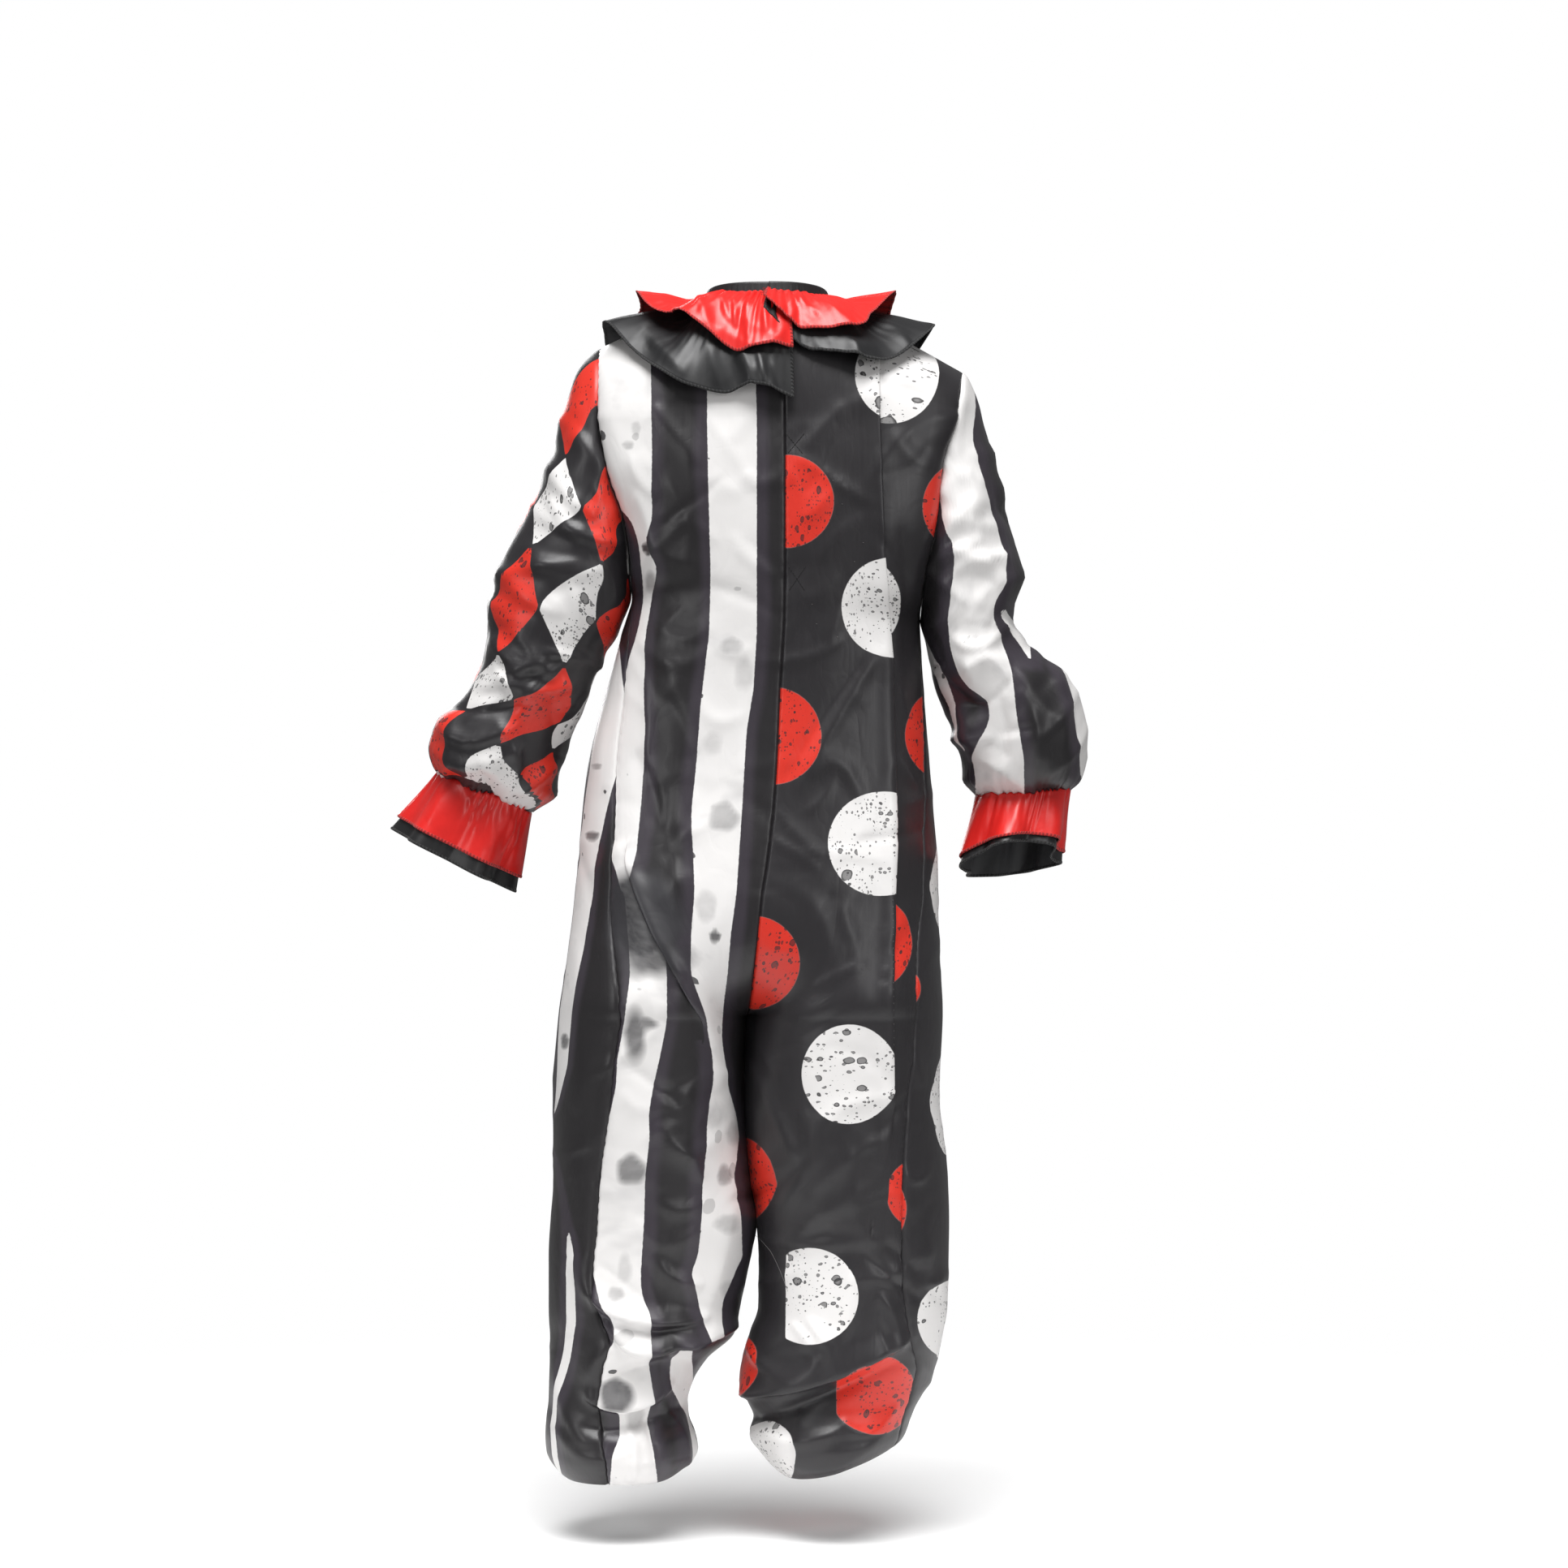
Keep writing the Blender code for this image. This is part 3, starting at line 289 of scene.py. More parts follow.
SUIT_CREASES = crease_set(back=[
    # broad folds of the worn shape
    # x0   z0    x1    z1    x2    z2   width height sag
    (132, -480, 104, -545, 75, -600, 24, 7.0),
    (98, -280, 80, -340, 60, -400, 20, 4.0),
    (-100, -130, -106, -370, -112, -620, 16, 4.0),
    (-60, -720, -52, -770, -40, -820, 24, 4.0),
    # left back, from the neck down
    (101, -92, 82, -118, 61, -143, 9, 2.6),
    (121, -135, 112, -158, 96, -172, 7, 2.4),
    (118, -170, 104, -200, 98, -262, 7, 2.2),
    (106, -208, 84, -226, 60, -232, 9, 2.4),
    (72, -96, 66, -160, 70, -232, 8, 1.6),
    (86, -150, 70, -190, 42, -212, 7, 1.6),
    (112, -300, 80, -322, 54, -308, 8, 2.6),
    (96, -286, 72, -298, 52, -288, 6, 1.8),
    (88, -350, 70, -388, 60, -440, 10, -2.6),
    (118, -400, 98, -440, 84, -500, 13, -3.6),
    (108, -330, 104, -380, 110, -430, 7, 2.0),
    (84, -490, 79, -515, 78, -545, 9, 2.6),
    (20, -150, 14, -157, 8, -166, 8, 1.8),
    (50, -300, 30, -312, 10, -306, 7, 1.5),
    (26, -330, 22, -420, 14, -500, 9, 2.0),
    (62, -350, 44, -372, 20, -364, 7, 1.6),
    (108, -600, 96, -650, 92, -700, 10, 2.6),
    (101, -730, 76, -752, 57, -780, 8, 3.4),
    (97, -796, 80, -806, 58, -800, 7, 2.6),
    (116, -812, 92, -836, 62, -822, 8, 2.4),
    (128, -700, 112, -716, 88, -712, 8, 2.0),
    (66, -590, 52, -640, 42, -700, 9, 2.8),
    (34, -640, 26, -700, 24, -760, 8, -2.4),
    (30, -800, 40, -850, 52, -892, 9, 2.8),
    (170, -560, 166, -640, 172, -720, 10, 2.4),
    (172, -760, 160, -830, 166, -900, 9, 2.2),
    (146, -660, 152, -740, 146, -800, 9, -2.2),
    # right back
    (-26, -154, -4, -160, 10, -165, 8, 2.0),
    (-32, -193, -50, -178, -68, -157, 8, 2.4),
    (-34, -130, -52, -108, -70, -92, 9, 2.0),
    (-46, -230, -64, -206, -88, -190, 8, 1.8),
    (-118, -200, -124, -262, -120, -330, 9, -2.0),
    (-100, -308, -68, -358, -28, -434, 8, 2.8),
    (-84, -318, -52, -366, -16, -424, 6, -1.6),
    (-40, -423, -62, -409, -83, -441, 8, 3.0),
    (-60, -412, -52, -438, -34, -452, 6, 1.6),
    (-112, -402, -122, -416, -133, -431, 6, 2.4),
    (-118, -340, -124, -372, -136, -390, 6, 1.8),
    (-22, -250, -40, -262, -62, -240, 9, 1.8),
    (-30, -520, -52, -560, -60, -610, 11, 2.0),
    (-66, -536, -78, -572, -74, -616, 9, 1.6),
    (16, -668, -8, -722, -32, -769, 6, 3.0),
    (10, -640, 2, -670, -14, -690, 5, 1.6),
    (-68, -740, -82, -812, -94, -826, 9, 3.2),
    (-30, -716, -44, -760, -40, -800, 8, 1.8),
    (12, -829, -40, -836, -104, -832, 5, 1.6),
    (-126, -654, -132, -676, -138, -697, 6, 2.4),
    (-122, -769, -134, -778, -146, -762, 5, 2.4),
    (-136, -860, -146, -872, -160, -858, 6, 2.4),
    # left hem, folds lying round the leg
    (168, -846, 158, -872, 138, -894, 9, 4.0, 1.0),
    (156, -874, 118, -900, 52, -898, 7, 8.5, 4.0),
    (146, -896, 114, -912, 70, -908, 4, -3.5),
    (136, -900, 112, -926, 50, -908, 6, 8.5, 7.0),
    (84, -916, 58, -914, 26, -904, 6, 7.0, 7.0),
    (142, -958, 112, -947, 66, -938, 7, -7.0),
    (136, -926, 152, -944, 156, -968, 7, 5.0),
    (160, -966, 124, -972, 84, -954, 8, 10.0, 9.0),
    (164, -996, 126, -998, 74, -978, 8, -5.0),
    (186, -930, 180, -976, 158, -1016, 8, 4.0),
    (184, -1000, 158, -1026, 118, -1018, 6, 3.0),
    (124, -1000, 118, -1018, 118, -1046, 5, 3.2),
    (108, -986, 102, -1008, 98, -1040, 5, -3.0),
    (94, -976, 76, -1004, 70, -1036, 6, 3.6),
    (100, -846, 84, -866, 58, -872, 8, 3.4),
    (108, -850, 100, -874, 96, -892, 7, -2.6),
    # right hem
    (18, -920, -12, -948, -54, -932, 6, 5.5, 2.0),
    (26, -964, -38, -950, -126, -916, 8, 10.0, 10.0),
    (22, -990, -34, -978, -118, -940, 7, -6.5),
    (-36, -902, -52, -922, -62, -940, 6, 4.0),
    (-22, -906, -36, -922, -44, -940, 4, 2.6),
    (-6, -1016, -50, -1034, -108, -1000, 8, 4.0),
    (4, -1000, -30, -1012, -70, -996, 6, 2.6),
    (-24, -980, -20, -1004, -24, -1040, 6, -2.4),
    (-66, -990, -88, -1004, -114, -978, 6, 2.8),
    (-70, -850, -74, -890, -60, -930, 7, 3.0),
    (-98, -880, -112, -900, -118, -924, 7, 3.0),
], front=[
    # broad folds of the worn shape
    (60, -180, 66, -330, 75, -480, 24, 5.0),
    (105, -680, 96, -750, 85, -830, 26, 5.0),
    (-85, -180, -82, -330, -75, -470, 24, 5.0),
    (-80, -680, -76, -750, -70, -820, 26, 5.0),
    # folds of its own, like the back's
    (24, -90, 60, -120, 110, -150, 11, 2.6),
    (-30, -100, -64, -128, -120, -160, 11, 2.6),
    (110, -215, 82, -236, 44, -240, 9, 2.6),
    (-118, -240, -88, -262, -52, -262, 9, 2.6),
    (30, -280, 24, -380, 32, -480, 11, 2.2),
    (-52, -300, -44, -400, -50, -500, 11, 2.4),
    (130, -420, 112, -500, 84, -560, 13, 3.8),
    (-128, -420, -104, -500, -70, -560, 13, 3.4),
    (30, -560, 62, -600, 110, -610, 10, 3.0),
    (-2, -570, -34, -606, -84, -612, 10, 3.0),
    (160, -690, 124, -724, 60, -716, 9, 3.4),
    (-132, -700, -92, -730, -30, -724, 9, 3.4),
    (60, -780, 100, -812, 160, -800, 8, 2.9),
    (-20, -790, -70, -820, -140, -806, 8, 2.9),
    (176, -886, 112, -900, 40, -892, 10, 7.5, 5.0),
    (170, -930, 112, -940, 66, -930, 8, -4.0),
    (160, -962, 120, -976, 78, -962, 8, 6.0, 4.5),
    (-140, -892, -70, -916, 4, -908, 10, 7.5, 5.0),
    (-132, -946, -66, -962, 2, -950, 8, 6.0, 4.5),
])
SCATTER_SLOPE = (0.75, 0.4)         # mean and spread of a scattered crease's slope, in radians
SCATTER_HALF_LENGTH = (9, 42)
SCATTER_BEND = 0.16
SCATTER_LOWEST = 0.5
SCATTER_WIDTH = (4.0, 9.5)


def scattered_creases(left, right, top, foot, count, seed, tallest):
    """Short creases that the satin keeps from its packing and its wear, at seeded places."""
    draw = np.random.default_rng(seed)
    made = []
    for _ in range(count):
        x, z = draw.uniform(right, left), draw.uniform(foot, top)
        angle = draw.choice([-1, 1]) * draw.normal(*SCATTER_SLOPE)
        half = draw.uniform(*SCATTER_HALF_LENGTH)
        bend = draw.normal(0, SCATTER_BEND) * half
        reach_x, reach_z = half * cos(angle), half * sin(angle)
        # the longer ones stand higher
        height = draw.choice([-1, 1, 1]) * draw.uniform(SCATTER_LOWEST, tallest) * (0.4 + half / 60)
        made.append(Crease(x - reach_x, z - reach_z, x - bend * sin(angle), z + bend * cos(angle),
                           x + reach_x, z + reach_z, draw.uniform(*SCATTER_WIDTH), height))
    return made


SUIT_CREASES["back"] += scattered_creases(170, -150, -70, -900, 150, 5, 1.9)
SUIT_CREASES["back"] += scattered_creases(190, -150, -640, -1040, 50, 8, 2.4)
SUIT_CREASES["front"] += scattered_creases(190, -190, -70, -1040, 190, 6, 2.2)
CREASE_POINTS = 25         # along a crease's curve
CREASE_REACH = 3.0         # in half widths
CREST = 1.6                # how round a crease's crest is; 2 is rounder, 1 is sharp
END_TAPER = 0.6            # how slowly a crease sinks towards its ends, and how high it ends
END_HEIGHT = 0.15
END_WIDTH = 0.55           # its width at the ends, and what the middle adds to it
MIDDLE_WIDTH = 0.45
FACING_SHARPNESS = 3.0     # how fast a crease fades where the cloth turns away from the view
LIGHT_WAVES = 26           # slight unevenness over all of the cloth
LIGHT_WAVE_LENGTHS = (0.030, 0.110)
LIGHT_WAVE_HEIGHT = 0.00052
LIGHT_WAVE_STRETCH = (1.0, 1.0, 0.55)      # they run more up and down than across
LIGHT_WAVE_SEED = 11


def crease_profile(view, crease):
    """0 to 1 over a crease's ridge, at points given as seen."""
    start, middle, end = (np.array(crease[i:i + 2]) for i in (0, 2, 4))
    t = np.linspace(0, 1, CREASE_POINTS)[:, None]
    bend = 2 * middle - (start + end) / 2
    curve = (1 - t) ** 2 * start + 2 * t * (1 - t) * bend + t * t * end
    reach = CREASE_REACH * crease.width
    near = np.all((view > curve.min(0) - reach) & (view < curve.max(0) + reach), axis=-1)
    profile = np.zeros(view.shape[:-1])
    spots = view[near]
    best = np.full(len(spots), 1e9)
    at = np.zeros(len(spots))
    for k in range(CREASE_POINTS - 1):
        a, step = curve[k], curve[k + 1] - curve[k]
        f = np.clip((spots - a) @ step / (step @ step), 0, 1)
        gap = np.linalg.norm(spots - a - f[:, None] * step, axis=1)
        closer = gap < best
        best = np.where(closer, gap, best)
        at = np.where(closer, (k + f) / (CREASE_POINTS - 1), at)
    taper = np.clip(4 * at * (1 - at), 0, 1) ** END_TAPER * (1 - END_HEIGHT) + END_HEIGHT
    width = crease.width * (END_WIDTH + MIDDLE_WIDTH * taper)
    profile[near] = np.exp(-(best / width) ** CREST) * taper
    return profile


def light_waves(points):
    """Slight waves through all three directions, the same at each run."""
    draw = np.random.default_rng(LIGHT_WAVE_SEED)
    height = np.zeros(points.shape[:-1])
    for _ in range(LIGHT_WAVES):
        length = draw.uniform(*LIGHT_WAVE_LENGTHS)
        way = draw.normal(size=3) * np.array(LIGHT_WAVE_STRETCH)
        way /= np.linalg.norm(way)
        height += length * np.sin(points @ way * tau / length + draw.uniform(0, tau))
    longest = LIGHT_WAVE_LENGTHS[1]
    return height / longest / LIGHT_WAVES ** 0.5 * LIGHT_WAVE_HEIGHT


def crease_cloth(grid, normals, creases, amount=1.0):
    """Moves a grid out along its normals by its creases and by the light waves."""
    moved = grid + normals * (light_waves(grid) * amount)[..., None]
    for face, sign in FACE_SIGN.items():
        facing = np.clip(normals[..., 1] * sign * FACING_SHARPNESS + 0.5, 0, 1)
        view = seen(grid, face)
        for crease in creases[face]:
            swell = crease_profile(view, crease) * facing * amount
            moved = moved + normals * (swell * crease.height * MILLIMETRE)[..., None]
            moved[..., 2] -= swell * crease.sag * MILLIMETRE
    return moved


# The steps through a lapped fold, in millimetres: away from its line, and off the cloth
LAP = np.array([(-15, 0.0), (-11, 0.3), (-8, 0.9), (-5.5, 1.5), (-3.2, 2.0), (-1.2, 2.35),
                (0.6, 2.5), (2.0, 2.45), (2.8, 2.2), (3.0, 1.8), (2.6, 1.4), (1.0, 1.2),
                (-1.0, 1.05), (-2.4, 0.8), (-2.9, 0.4), (-2.6, 0.0), (-1.4, -0.3), (0.6, -0.5),
                (2.6, -0.6), (4.8, -0.5), (7.2, -0.4), (9.6, -0.2), (12.2, -0.1), (15, 0.0)])
LAP_TURN = 12              # the step where the upper layer gives way to the lower one
LAP_OVERHANG = 3.0         # the fold's free edge lies this far past its middle
# Each half has one fold that laps over itself, seen as x at z, with the levels where it is whole
LAP_LINES = {"left": [(-300, 112), (-470, 124), (-485, 126), (-503, 122), (-527, 114), (-559, 102),
                      (-588, 87), (-617, 72), (-637, 62), (-650, 59), (-720, 59), (-1045, 110)],
             "right": [(0, -90), (-42, -99), (-103, -100), (-229, -104), (-316, -109), (-481, -114),
                       (-531, -112), (-661, -112), (-740, -114), (-840, -104), (-1045, -70)]}
LAP_WHOLE = {"left": (-500, -618), "right": (-40, -700)}
LAP_FADES = {"left": (30, 34), "right": (40, 90)}
LAP_EDGE_ROOM = 0.004      # the fold stays this far inside a panel's edge, where there is room
PANEL_SAMPLES = 181        # across a level, where its places are worked out
LEVEL_SAMPLE = 60          # the one whose height stands for the level's
LEVEL_SAMPLES = 900


def eased(share):
    """0 to 1 with a soft start and end."""
    return share * share * (3 - 2 * share)


def seam_place(side, down):
    """Where the side seam lies at each level: 0 at centre back, 1 at centre front."""
    return section_columns(side, np.maximum(down, 1.0))[6]


def even_levels(side, face, step):
    """Levels that lie about a step apart down the middle of a panel."""
    down = np.linspace(0.0, HEM_LEVEL, LEVEL_SAMPLES)
    place = seam_place(side, down)
    start = 0.0 if face == "back" else 1.0
    line = suit_points(side, (start + (place - start) * 0.5)[:, None], down)
    # the hem's folds take closer rows than the rest
    share = np.where(line[:, 0, 2] < HEM_FOLDS, HEM_ROWS, 1.0)
    run = np.cumsum(share * np.gradient(runs(line, 0)[:, 0]))
    run -= run[0]
    return np.interp(np.linspace(0, run[-1], int(run[-1] / step) + 1), run, down)


def lay_panel(side, face):
    """A panel's grid before creasing, how far each column lies from the centre seam, and which
    columns belong to the lapped fold's lower layer."""
    down = even_levels(side, face, PANEL_STEP)
    place = seam_place(side, down) + (FRONT_EDGE if face == "front" else 0)
    start = 0.0 if face == "back" else 1.0
    share = np.linspace(0.0, 1.0, PANEL_SAMPLES)
    along = start + (place - start)[:, None] * share
    fine = suit_points(side, along, down)
    run = runs(fine, 1)
    whole = run[:, -1]
    inner, outer = PANEL_COLUMNS
    if face == "front":
        across = np.linspace(0, 1, inner + outer)[None, :] * whole[:, None]
        lift = np.zeros_like(across)
        lower = np.zeros(across.shape[1], bool)
    else:
        view = seen(fine)
        line_z, line_x = np.array(sorted(LAP_LINES[side])).T
        past = SIDE_SIGN[side] * (view[..., 0] - np.interp(view[..., 1], line_z, line_x))
        past = past + LAP_OVERHANG
        past = np.maximum.accumulate(past, axis=1)
        middle = np.array([np.interp(0.0, p, r) for p, r in zip(past, run)])
        steps = LAP * MILLIMETRE
        half = steps[-1, 0]
        middle = np.clip(middle, np.minimum(half + LAP_EDGE_ROOM, whole * 0.4), whole - half * 0.6)
        room = np.minimum(1.0, np.minimum(middle, whole - middle) / (half + 0.002))
        level = view[:, LEVEL_SAMPLE, 1]
        top, foot = LAP_WHOLE[side]
        fade_top, fade_foot = LAP_FADES[side]
        fade = np.clip((top - level) / fade_top + 1, 0, 1) * np.clip((level - foot) / fade_foot + 1, 0, 1)
        fade = eased(fade) * np.clip((room - 0.55) / 0.4, 0, 1)
        spread = np.linspace(-half, half, len(LAP))
        zone = ((1 - fade)[:, None] * spread + fade[:, None] * steps[:, 0]) * room[:, None]
        zone = zone + middle[:, None]
        first = np.linspace(0, 1, inner, endpoint=False)[None, :] * zone[:, :1]
        last = zone[:, -1:] + np.linspace(0, 1, outer + 1)[None, 1:] * (whole[:, None] - zone[:, -1:])
        across = np.concatenate([first, zone, last], axis=1)
        lift = np.zeros_like(across)
        lift[:, inner:inner + len(LAP)] = fade[:, None] * steps[:, 1] * room[:, None]
        lower = np.arange(across.shape[1]) > inner + LAP_TURN
    across = np.clip(across, 0.0, whole[:, None])
    columns = np.array([np.interp(a, r, s) for a, r, s in zip(across, run, along)])
    return suit_points(side, columns, down), across, whole, lift, lower


def dip_seams(grid, normals, from_edge):
    """Draws the cloth into a seam, with small puckers along it."""
    run = runs(grid, 0)
    drift = PUCKER_DRIFT[0] * np.sin(run * PUCKER_DRIFT[1])
    pucker = 1 + PUCKER / SEAM_DIP * np.sin(run * tau / PUCKER_PITCH + drift)
    dip = SEAM_DIP * pucker * np.exp(-(from_edge / SEAM_DIP_WIDTH) ** 2)
    return grid - normals * dip[..., None]


def make_panel(side, face, paint, satin):
    """A finished panel: laid, creased, lapped, printed and given its thickness."""
    grid, across, whole, lift, lower = lay_panel(side, face)
    outward = SIDE_SIGN[side] * FACE_SIGN[face]
    normals = grid_normals(grid) * outward
    if face == "back":
        # inside the lapped fold the columns turn back, so their normals come from both sides
        inner, outer = PANEL_COLUMNS
        a, b = inner - 1, inner + len(LAP)
        f = np.linspace(0, 1, b - a + 1)[None, :, None]
        normals[:, a:b + 1] = normals[:, a:a + 1] * (1 - f) + normals[:, b:b + 1] * f
        normals = unit(normals)
    white, red, blot = paint(grid, across, whole, lower)
    # the legs lie close together, so their inner sides stay smooth
    inner_leg = np.where(grid[..., 2] < CROTCH_TOP, np.clip(across / INNER_LEG, 0, 1), 1.0)
    creased = crease_cloth(grid, normals, SUIT_CREASES, inner_leg) + normals * lift[..., None]
    creased = dip_seams(creased, normals, np.minimum(across, whole[:, None] - across))
    for edge in (0, -1):
        creased[:, edge] -= normals[:, edge] * SEAM_TURN
    piece = cloth_piece(f"{face}_{side}", (satin, PRINT_BACK), creased, outward=outward)
    add_print(piece, white, red, blot)
    return piece


def placed(name, data):
    """An object in the scene, made of a mesh, a light or a camera."""
    made = bpy.data.objects.new(name, data)
    bpy.context.scene.collection.objects.link(made)
    return made


def new_piece(name, materials, vertices, faces, cloth_map=None):
    """A smooth piece of the suit; cloth_map is its map named cloth, across and down in metres."""
    mesh = bpy.data.meshes.new(name)
    mesh.from_pydata(vertices, [], faces)
    if cloth_map is not None:
        layer = mesh.uv_layers.new(name="cloth")
        layer.data.foreach_set("uv", np.array(cloth_map, dtype=np.float32).ravel())
    for material in materials:
        mesh.materials.append(material)
    mesh.shade_smooth()
    piece = placed(name, mesh)
    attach(piece, "root")
    return piece


def closed_up(grid):
    """A tube's grid with its first column once more at the end."""
    return np.concatenate([grid, grid[:, :1]], axis=1)


def cloth_piece(part, satins, grid, closed=False, outward=1.0):
    """The cloth that stands for a part: the grid's surface with the satin on its outside and the
    cloth's wrong side within. outward is -1 where the faces have to be turned over for that."""
    rows, columns = grid.shape[:2]
    around = columns if closed else columns - 1
    i, j = np.meshgrid(np.arange(rows - 1), np.arange(around), indexing="ij")
    k = (j + 1) % columns
    faces = np.stack([i * columns + j, i * columns + k, (i + 1) * columns + k, (i + 1) * columns + j], -1)
    faces = faces.reshape(-1, 4)
    if outward < 0:
        faces = faces[:, ::-1]
    ring = closed_up(grid) if closed else grid
    across = np.repeat(runs(ring, 1).mean(axis=0, keepdims=True), rows, axis=0)
    down = np.repeat(runs(ring, 0).mean(axis=1, keepdims=True), ring.shape[1], axis=1)
    corner = [3, 2, 1, 0] if outward < 0 else [0, 1, 2, 3]
    row = np.stack([i, i, i + 1, i + 1], -1).reshape(-1, 4)[:, corner]
    column = np.stack([j, j + 1, j + 1, j], -1).reshape(-1, 4)[:, corner]
    piece = new_piece(f"{part}_cloth", satins, grid.reshape(-1, 3).tolist(), faces.tolist(),
                      np.stack([across[row, column], down[row, column]], -1))
    wall = piece.modifiers.new("thickness", "SOLIDIFY")
    wall.thickness = CLOTH
    wall.offset = 0.0
    wall.material_offset = 1
    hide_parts(part)
    return piece


def add_print(piece, white, red, blot):
    """How far each point lies inside the white and the red print, in millimetres, and how dark
    the ink blots are there."""
    for name, values in (("white", white), ("red", red), ("blot", blot)):
        layer = piece.data.attributes.new(name, "FLOAT", "POINT")
        layer.data.foreach_set("value", np.asarray(values, np.float32).ravel())


EDGE_SMOOTHING = 12        # millimetres over which a printed edge is evened out


def band_reach(view, rows):
    """Millimetres inside a printed band whose rows give z, its left and its right edge."""
    rows = np.array(rows, dtype=float)
    level = np.arange(rows[-1, 0] - EDGE_SMOOTHING, rows[0, 0] + EDGE_SMOOTHING)
    bell = np.hanning(2 * EDGE_SMOOTHING - 1)
    left, right = [np.convolve(np.interp(level, rows[::-1, 0], rows[::-1, k]), bell / bell.sum(), "same")
                   for k in (1, 2)]
    held = np.clip(view[..., 1], rows[-1, 0], rows[0, 0])
    inside = np.minimum(np.interp(held, level, left) - view[..., 0],
                        view[..., 0] - np.interp(held, level, right))
    ends = np.minimum(rows[0, 0] - view[..., 1], view[..., 1] - rows[-1, 0])
    return np.minimum(inside, ends)


# The left back's white stripes: z, left edge and right edge as seen, in millimetres
ARM_STRIPE = [(-10, 190, 104), (-107, 170, 102), (-164, 150, 102), (-193, 120, 101), (-211, 114, 106),
              (-236, 110, 96), (-265, 109, 102), (-294, 114, 106), (-344, 130, 108), (-380, 132, 107),
              (-452, 137, 113), (-488, 136, 114), (-524, 126, 120)]
UNDER_STRIPE = [(-481, 140, 112), (-528, 123, 89), (-596, 121, 89), (-636, 126, 89), (-668, 132, 95),
                (-697, 134, 101), (-719, 139, 105), (-740, 147, 104), (-776, 148, 108),
                (-821, 153, 109), (-861, 154, 112), (-873, 150, 112), (-888, 143, 109),
                (-896, 137, 103), (-914, 133, 103), (-926, 137, 103), (-938, 145, 103),
                (-950, 155, 103), (-962, 156, 103), (-972, 150, 104), (-982, 131, 104),
                (-1006, 130, 102), (-1022, 137, 99), (-1056, 140, 97)]
MIDDLE_STRIPE = [(-20, 53, 11), (-107, 53, 9), (-164, 52, 9), (-236, 50, 9), (-294, 51, 9),
                 (-344, 57, 12), (-380, 60, 18), (-452, 67, 22), (-524, 64, 27), (-560, 67, 32),
                 (-596, 68, 35), (-618, 61, 38), (-636, 56, 40), (-654, 53, 41), (-668, 50, 39),
                 (-697, 49, 35), (-719, 53, 26), (-740, 54, 23), (-776, 57, 30), (-812, 58, 24),
                 (-845, 61, 23), (-863, 68, 30), (-885, 61, 40), (-900, 60, 41), (-912, 55, 44)]
INNER_HEM_STRIPE = [(-920, 71, 67), (-928, 76, 66), (-937, 81, 66), (-956, 89, 66), (-968, 83, 66),
                    (-985, 72, 64), (-1017, 68, 58), (-1050, 68, 56)]
LEFT_LAP_FOOT = -655       # the fold's lower layer shows as far down as this
# Where the first stripe past the side seam starts: z, x as seen or beyond the outline, and width
SIDE_STRIPE = [(-200, 140, 44), (-366, 125, 44), (-380, 129, 44), (-416, 133, 44), (-452, 142, 44),
               (-488, 149, 44), (-560, 160, 44), (-625, 171, 44), (-675, 176, 30), (-712, 186, 10),
               (-732, 192, -4), (-812, 178, -4), (-826, 173, 5), (-842, 170, 11), (-862, 169, 14),
               (-897, 169, 14), (-930, 174, 12), (-954, 179, 11), (-992, 187, 12), (-1017, 185, 12),
               (-1042, 180, 12)]
BEYOND_OUTLINE = 3 * MILLIMETRE        # of cloth for each millimetre beyond the outline
STRIPE_WIDTH = 44.0
STRIPE_PITCH = 93.0
FRONT_STRIPE = 42.0        # where the middle of a hidden front stripe would be seen
FRONT_STRIPE_START = 12    # how far forward the hidden stripes start
SIDE_STRIPE_END = 22       # how far forward the one past the seam goes
STAINS_END = -0.02         # on the front panel no stain lies forward of this y
UNPRINTED = -50.0          # well outside any print, in millimetres


class Blot(NamedTuple):
    """A stain as seen, in millimetres, with how dark it is, and how soft its edge."""
    x: float
    z: float
    half_width: float
    half_height: float
    dark: float
    soft: float


STRIPE_BLOTS = [Blot(*row) for row in (
    # x   z    half_w half_h dark soft
    (108, -546, 34, 40, 0.96, 0.35),
    (102, -582, 30, 16, 0.85, 0.8),
    (38, -457, 13, 13, 0.42, 0.35),
    (42, -450, 7, 6, 0.35, 0.5),
    (54, -536, 9, 14, 0.22, 0.4),
    (46, -563, 5, 6, 0.85, 0.3),
    (117, -650, 9, 22, 0.80, 0.7),
    (108, -640, 10, 6, 0.70, 0.6),
    (120, -770, 13, 13, 0.72, 0.45),
    (124, -764, 8, 5, 0.5, 0.4),
    (38, -775, 6, 9, 0.55, 0.5),
    (154, -474, 6, 5, 0.8, 0.4),
    (150, -412, 5, 3, 0.5, 0.4),
    (178, -656, 4, 7, 0.8, 0.4),
    (123, -127, 5, 4, 0.35, 0.5),
    (116, -112, 4, 6, 0.25, 0.5),
    (31, -305, 10, 7, 0.30, 0.5),
    (20, -330, 8, 14, 0.22, 0.6),
    (48, -392, 8, 10, 0.18, 0.6),
    (134, -965, 14, 9, 0.85, 0.4),
    (116, -990, 8, 12, 0.35, 0.6),
    (134, -880, 7, 6, 0.35, 0.5),
    (36, -818, 10, 8, 0.35, 0.6),
    (34, -876, 9, 8, 0.25, 0.6),
    (104, -218, 6, 6, 0.95, 0.3),
    (102, -248, 5, 9, 0.45, 0.6),
    (126, -858, 6, 12, 0.22, 0.6),
    (46, -722, 8, 12, 0.20, 0.7),
    (30, -738, 6, 10, 0.28, 0.6),
)]


